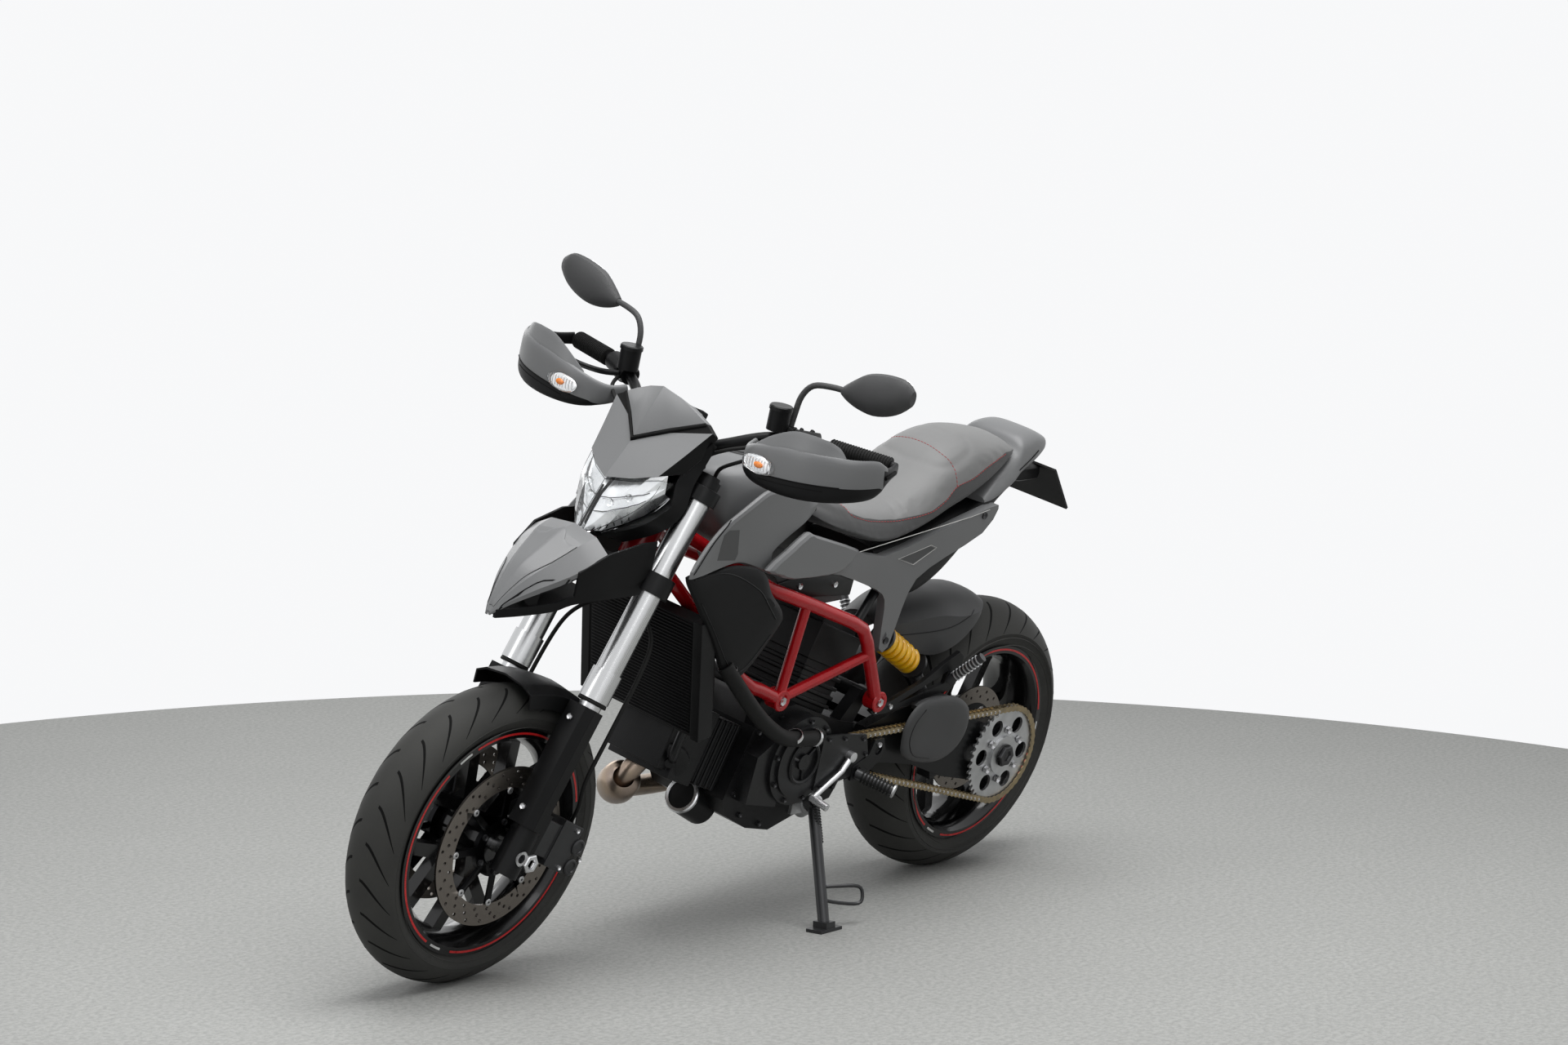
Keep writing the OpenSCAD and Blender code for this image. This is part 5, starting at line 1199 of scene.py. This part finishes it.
addLathe(bm, [(0, 0), (13, 0), (13, 4), (9, 7), (0, 7)], (-24, 146, 398), (0, 1, 0), 24)
addLathe(bm, [(60, 0), (66, 0), (66, 3), (63, 4.5), (60, 3)], (-40, -157.6, 392), (0, -1, 0), 56)
for (x0, z0), (x1, z1) in zip(roundPlaces(3, 14, 20), roundPlaces(3, 40, 20)):  # spokes of the left cover
    addTube(bm, [(-24 + x0, 150, 398 + z0), (-24 + x1, 150.5, 398 + z1)], 3.2)
finishPiece("coverRings", bm, "coverBlack", "engine_covers", 30)
filterTilt = math.radians(engineLook["filterTilt"])
filterWay = Vector((math.sin(filterTilt), 0, math.cos(filterTilt)))
bm = bmesh.new()
addLathe(bm, [(30, 0), (38.8, 0), (38.8, 5), (36, 7), (30, 7)],
         Vector(engineLook["filter"]) + filterWay * engineLook["filterReach"], filterWay, 48)
for spot, way in engineLook["clamps"]:
    addLathe(bm, [(17.6, -4), (18.8, -4), (18.8, 4), (17.6, 4)], spot, way, 32)
finishPiece("hoseClamps", bm, "alloy", "coolant_hose", 30)
radiatorLook = {"corner": (308, 0, 504), "tilt": 14.0, "fins": 34, "width": 268.0, "height": 236.0}
radiatorPlace = (Matrix.Translation(radiatorLook["corner"])
                 @ Matrix.Rotation(math.radians(radiatorLook["tilt"]), 4, "Y"))
bm = bmesh.new()
for k in range(radiatorLook["fins"]):
    made = bmesh.new()
    bmesh.ops.create_cube(made, size=1.0)
    bmesh.ops.scale(made, verts=made.verts, vec=(3.0, radiatorLook["width"], 2.6))
    bmesh.ops.rotate(made, verts=made.verts, cent=(0, 0, 0), matrix=Matrix.Rotation(0.5, 3, "Y"))
    bmesh.ops.translate(made, verts=made.verts,
                        vec=(35.0, 0, 8 + radiatorLook["height"] * k / (radiatorLook["fins"] - 1)))
    bmesh.ops.transform(made, matrix=radiatorPlace, verts=made.verts)
    put(bm, made)
finishPiece("radiatorFins", bm, "satinBlack", "radiator")
pumpLook = {"at": (286, 58, 418), "way": (0.75, 0.6, -0.2), "pipe": 9,
            "run": [(300, 74, 416), (322, 92, 436), (330, 104, 470), (324, 108, 506)]}
bm = bmesh.new()
addLathe(bm, [(0, -30), (30, -30), (33, -24), (33, 10), (38, 13), (38, 22), (30, 26), (12, 27), (10, 33), (0, 33)],
         pumpLook["at"], pumpLook["way"], 40)
addTube(bm, throughPoints(pumpLook["run"], 8), pumpLook["pipe"], roundness=3)
finishPiece("frontPump", bm, "coverBlack", "engine_covers", 30)
print("engine fittings")

# swollen joint of the exhaust pipe under the front cylinder
jointLook = {"at": (292, -56, 316), "way": (-26, -32, -28),
             "profile": [(22, -52), (34, -44), (40, -30), (41, 14), (38, 30), (30, 42), (22, 48), (21, 40),
                         (21, -44)]}
bm = bmesh.new()
addLathe(bm, jointLook["profile"], jointLook["at"], jointLook["way"], 40)
finishPiece("exhaustJoint", bm, "heatPipe", "exhaust_pipe", 40)

# chain pins, sprocket nuts, axle nut
chainLook = {"y": 142.0, "half": 8.0, "pitch": 15.9, "from": -236.0, "to": -716.0, "plate": 6.5}
bm = bmesh.new()
chainSurface = surfaceOf(skins["chain"])
for k in range(int((chainLook["from"] - chainLook["to"]) / chainLook["pitch"])):  # pin heads along both runs
    x = chainLook["from"] - chainLook["pitch"] * k
    for start, way in ((560, -1), (120, 1)):
        hit = chainSurface.ray_cast(stood @ Vector((x, chainLook["y"] + chainLook["plate"], start)),
                                    stoodWay((0, 0, way)), 0.4)[0]
        if hit:
            stamp(bm, hexBolt, (x, chainLook["y"] + chainLook["half"] - 0.4,
                                (upright @ hit).z + way * chainLook["plate"]), (0, 1, 0), (3.4, 3.4, 1.6))
finishPiece("chainPins", bm, "boltSteel", "chain", 30)
nuts = bmesh.new()
for x, z in roundPlaces(6, 58, 30):
    stamp(nuts, hexBolt, rearHub + Vector((x, 146.6, z)), (0, 1, 0), (9, 9, 8))
finishPiece("sprocketNuts", nuts, "boltSteel", "sprocket", 30)
nuts = bmesh.new()
addLathe(nuts, [(12, 0), (25, 0), (25, 6), (23, 8), (14, 8), (12, 5)], rearHub + Vector((0, 155.5, 0)), (0, 1, 0),
         6)
addLathe(nuts, [(0, 0), (12.2, 0), (12.2, 4), (10, 5), (0, 5)], rearHub + Vector((0, 155.5, 0)), (0, 1, 0), 24)
finishPiece("rearAxleNut", nuts, "boltBlack", "sprocket", 30)
print("drive")

# guard lines, stand spring, shock eye
guardRuns = [([(-340, 90, 606), (-420, 90, 612), (-520, 95, 622), (-600, 92, 650)], 1.1),
             ([(-400, 160, 470), (-372, 160, 440), (-366, 160, 400), (-392, 160, 366), (-450, 160, 352)], 0.9)]
bm = bmesh.new()
for run, radius in guardRuns:
    addLine(bm, "rear_guards", run, fromLeft, radius)
finishPiece("guardLines", bm, "satinBlack", "rear_guards", 60)
springLook = {"top": Vector((-96, 150, 306)), "low": Vector((-110, 176, 214)), "turns": 16, "points": 192,
              "coil": 6.0, "wire": 1.5}
bm = bmesh.new()
axis = springLook["low"] - springLook["top"]
side = axis.cross(Vector((1, 0, 0))).normalized()
other = axis.normalized().cross(side)
turnStep = 2 * math.pi * springLook["turns"] / springLook["points"]
coil = [springLook["top"] + axis * (k / springLook["points"])
        + springLook["coil"] * (side * math.cos(k * turnStep) + other * math.sin(k * turnStep))
        for k in range(springLook["points"] + 1)]
addTube(bm, coil, springLook["wire"])
finishPiece("standSpring", bm, "darkMetal", "side_stand", 60)
bm = bmesh.new()
addLathe(bm, [(12, -2), (16, -2), (16, 2), (12, 2)], (-306, 72, 612), (0, 1, 0), 28)
finishPiece("shockEye", bm, "alloy", "shock", 30)
print("guards and stand")

# camera at the photograph's angle
view = {"place": (5.0791, 4.4000, 1.4709), "right": (-0.636507, 0.771246, 0.006275),
        "up": (-0.069924, -0.065807, 0.995379), "back": (0.768095, 0.633127, 0.095815), "lens": 75.07,
        "sensor": 36.0}
cameraData = bpy.data.cameras.new("studioCamera")
cameraData.lens = view["lens"]
cameraData.sensor_width = view["sensor"]
camera = bpy.data.objects.new("studioCamera", cameraData)
scene.collection.objects.link(camera)
camera.matrix_world = Matrix((
    (view["right"][0], view["up"][0], view["back"][0], view["place"][0]),
    (view["right"][1], view["up"][1], view["back"][1], view["place"][1]),
    (view["right"][2], view["up"][2], view["back"][2], view["place"][2]), (0, 0, 0, 1)))
scene.camera = camera
scene.view_settings.view_transform = "Standard"

# floor, world and lamps
studio = {"floorRadius": 3.2, "floorColor": (0.43, 0.435, 0.42), "skyColor": (0.985, 0.99, 1.0), "skyLight": 0.18,
          "lamps": [
              {"name": "overhead", "at": (0.5, 1.0, 4.2), "size": (4.0, 3.0), "power": 184.0,
               "aim": (0.1, 0.1, 0.5)},
              {"name": "leftWall", "at": (2.2, 4.6, 2.6), "size": (3.0, 2.4), "power": 38.0,
               "aim": (0.1, 0.0, 0.6)},
              {"name": "frontStrip", "at": (4.6, -0.8, 2.4), "size": (1.2, 2.6), "power": 26.0,
               "aim": (0.3, 0, 0.7)},
              {"name": "rightRim", "at": (-2.0, -3.6, 2.6), "size": (3.0, 2.0), "power": 30.0, "aim": (0, 0, 0.7)}]}
floorBm = bmesh.new()
bmesh.ops.create_circle(floorBm, cap_ends=True, segments=192, radius=studio["floorRadius"])
floorMesh = bpy.data.meshes.new("studioFloor")
floorBm.to_mesh(floorMesh)
floorBm.free()
floor = bpy.data.objects.new("studioFloor", floorMesh)
scene.collection.objects.link(floor)
floorMat, floorTree, floorShader = startMaterial("floorPaint", studio["floorColor"], 0.7)
floorVector = addNode(floorTree, "ShaderNodeTexCoord").outputs["Object"]
floorCloud = noise(floorTree, floorVector, 3.0, 6.0, 0.6)
floorFleck = noise(floorTree, floorVector, 85.0, 4.0, 0.75)
tone = studio["floorColor"]
mottled = blendColor(floorTree, ranged(floorTree, floorCloud, 0.3, 0.7, 0.0, 1.0), (*tone, 1),
                     (*(c * 1.06 for c in tone), 1))
floorTree.links.new(blendColor(floorTree, ranged(floorTree, floorFleck, 0.4, 0.62, 0.0, 0.85), mottled,
                               (*(c * 0.72 for c in tone), 1)), floorShader.inputs["Base Color"])
bumped(floorTree, floorShader, noise(floorTree, floorVector, 260.0, 3.0), 0.08, 0.001)
floorMesh.materials.append(floorMat)

world = bpy.data.worlds.new("studioWorld")
scene.world = world
world.use_nodes = True
worldTree = world.node_tree
worldTree.nodes.clear()
path = addNode(worldTree, "ShaderNodeLightPath")
seen = math2(worldTree, "MAXIMUM", path.outputs["Is Camera Ray"], path.outputs["Is Transmission Ray"])
seen = math2(worldTree, "MAXIMUM", seen, path.outputs["Is Glossy Ray"])
strength = ranged(worldTree, seen, 0.0, 1.0, studio["skyLight"], 0.95)
sky = addNode(worldTree, "ShaderNodeBackground", {"Color": (*studio["skyColor"], 1), "Strength": strength})
worldOut = addNode(worldTree, "ShaderNodeOutputWorld")
worldTree.links.new(sky.outputs[0], worldOut.inputs[0])
for lamp in studio["lamps"]:
    lampData = bpy.data.lights.new(lamp["name"], "AREA")
    lampData.shape = "RECTANGLE"
    lampData.size, lampData.size_y = lamp["size"]
    lampData.energy = lamp["power"]
    lampObject = bpy.data.objects.new(lamp["name"], lampData)
    scene.collection.objects.link(lampObject)
    lampObject.location = lamp["at"]
    lampObject.rotation_euler = (Vector(lamp["aim"]) - Vector(lamp["at"])).to_track_quat("-Z", "Y").to_euler()
print("studio ready")

bpy.context.view_layer.update()
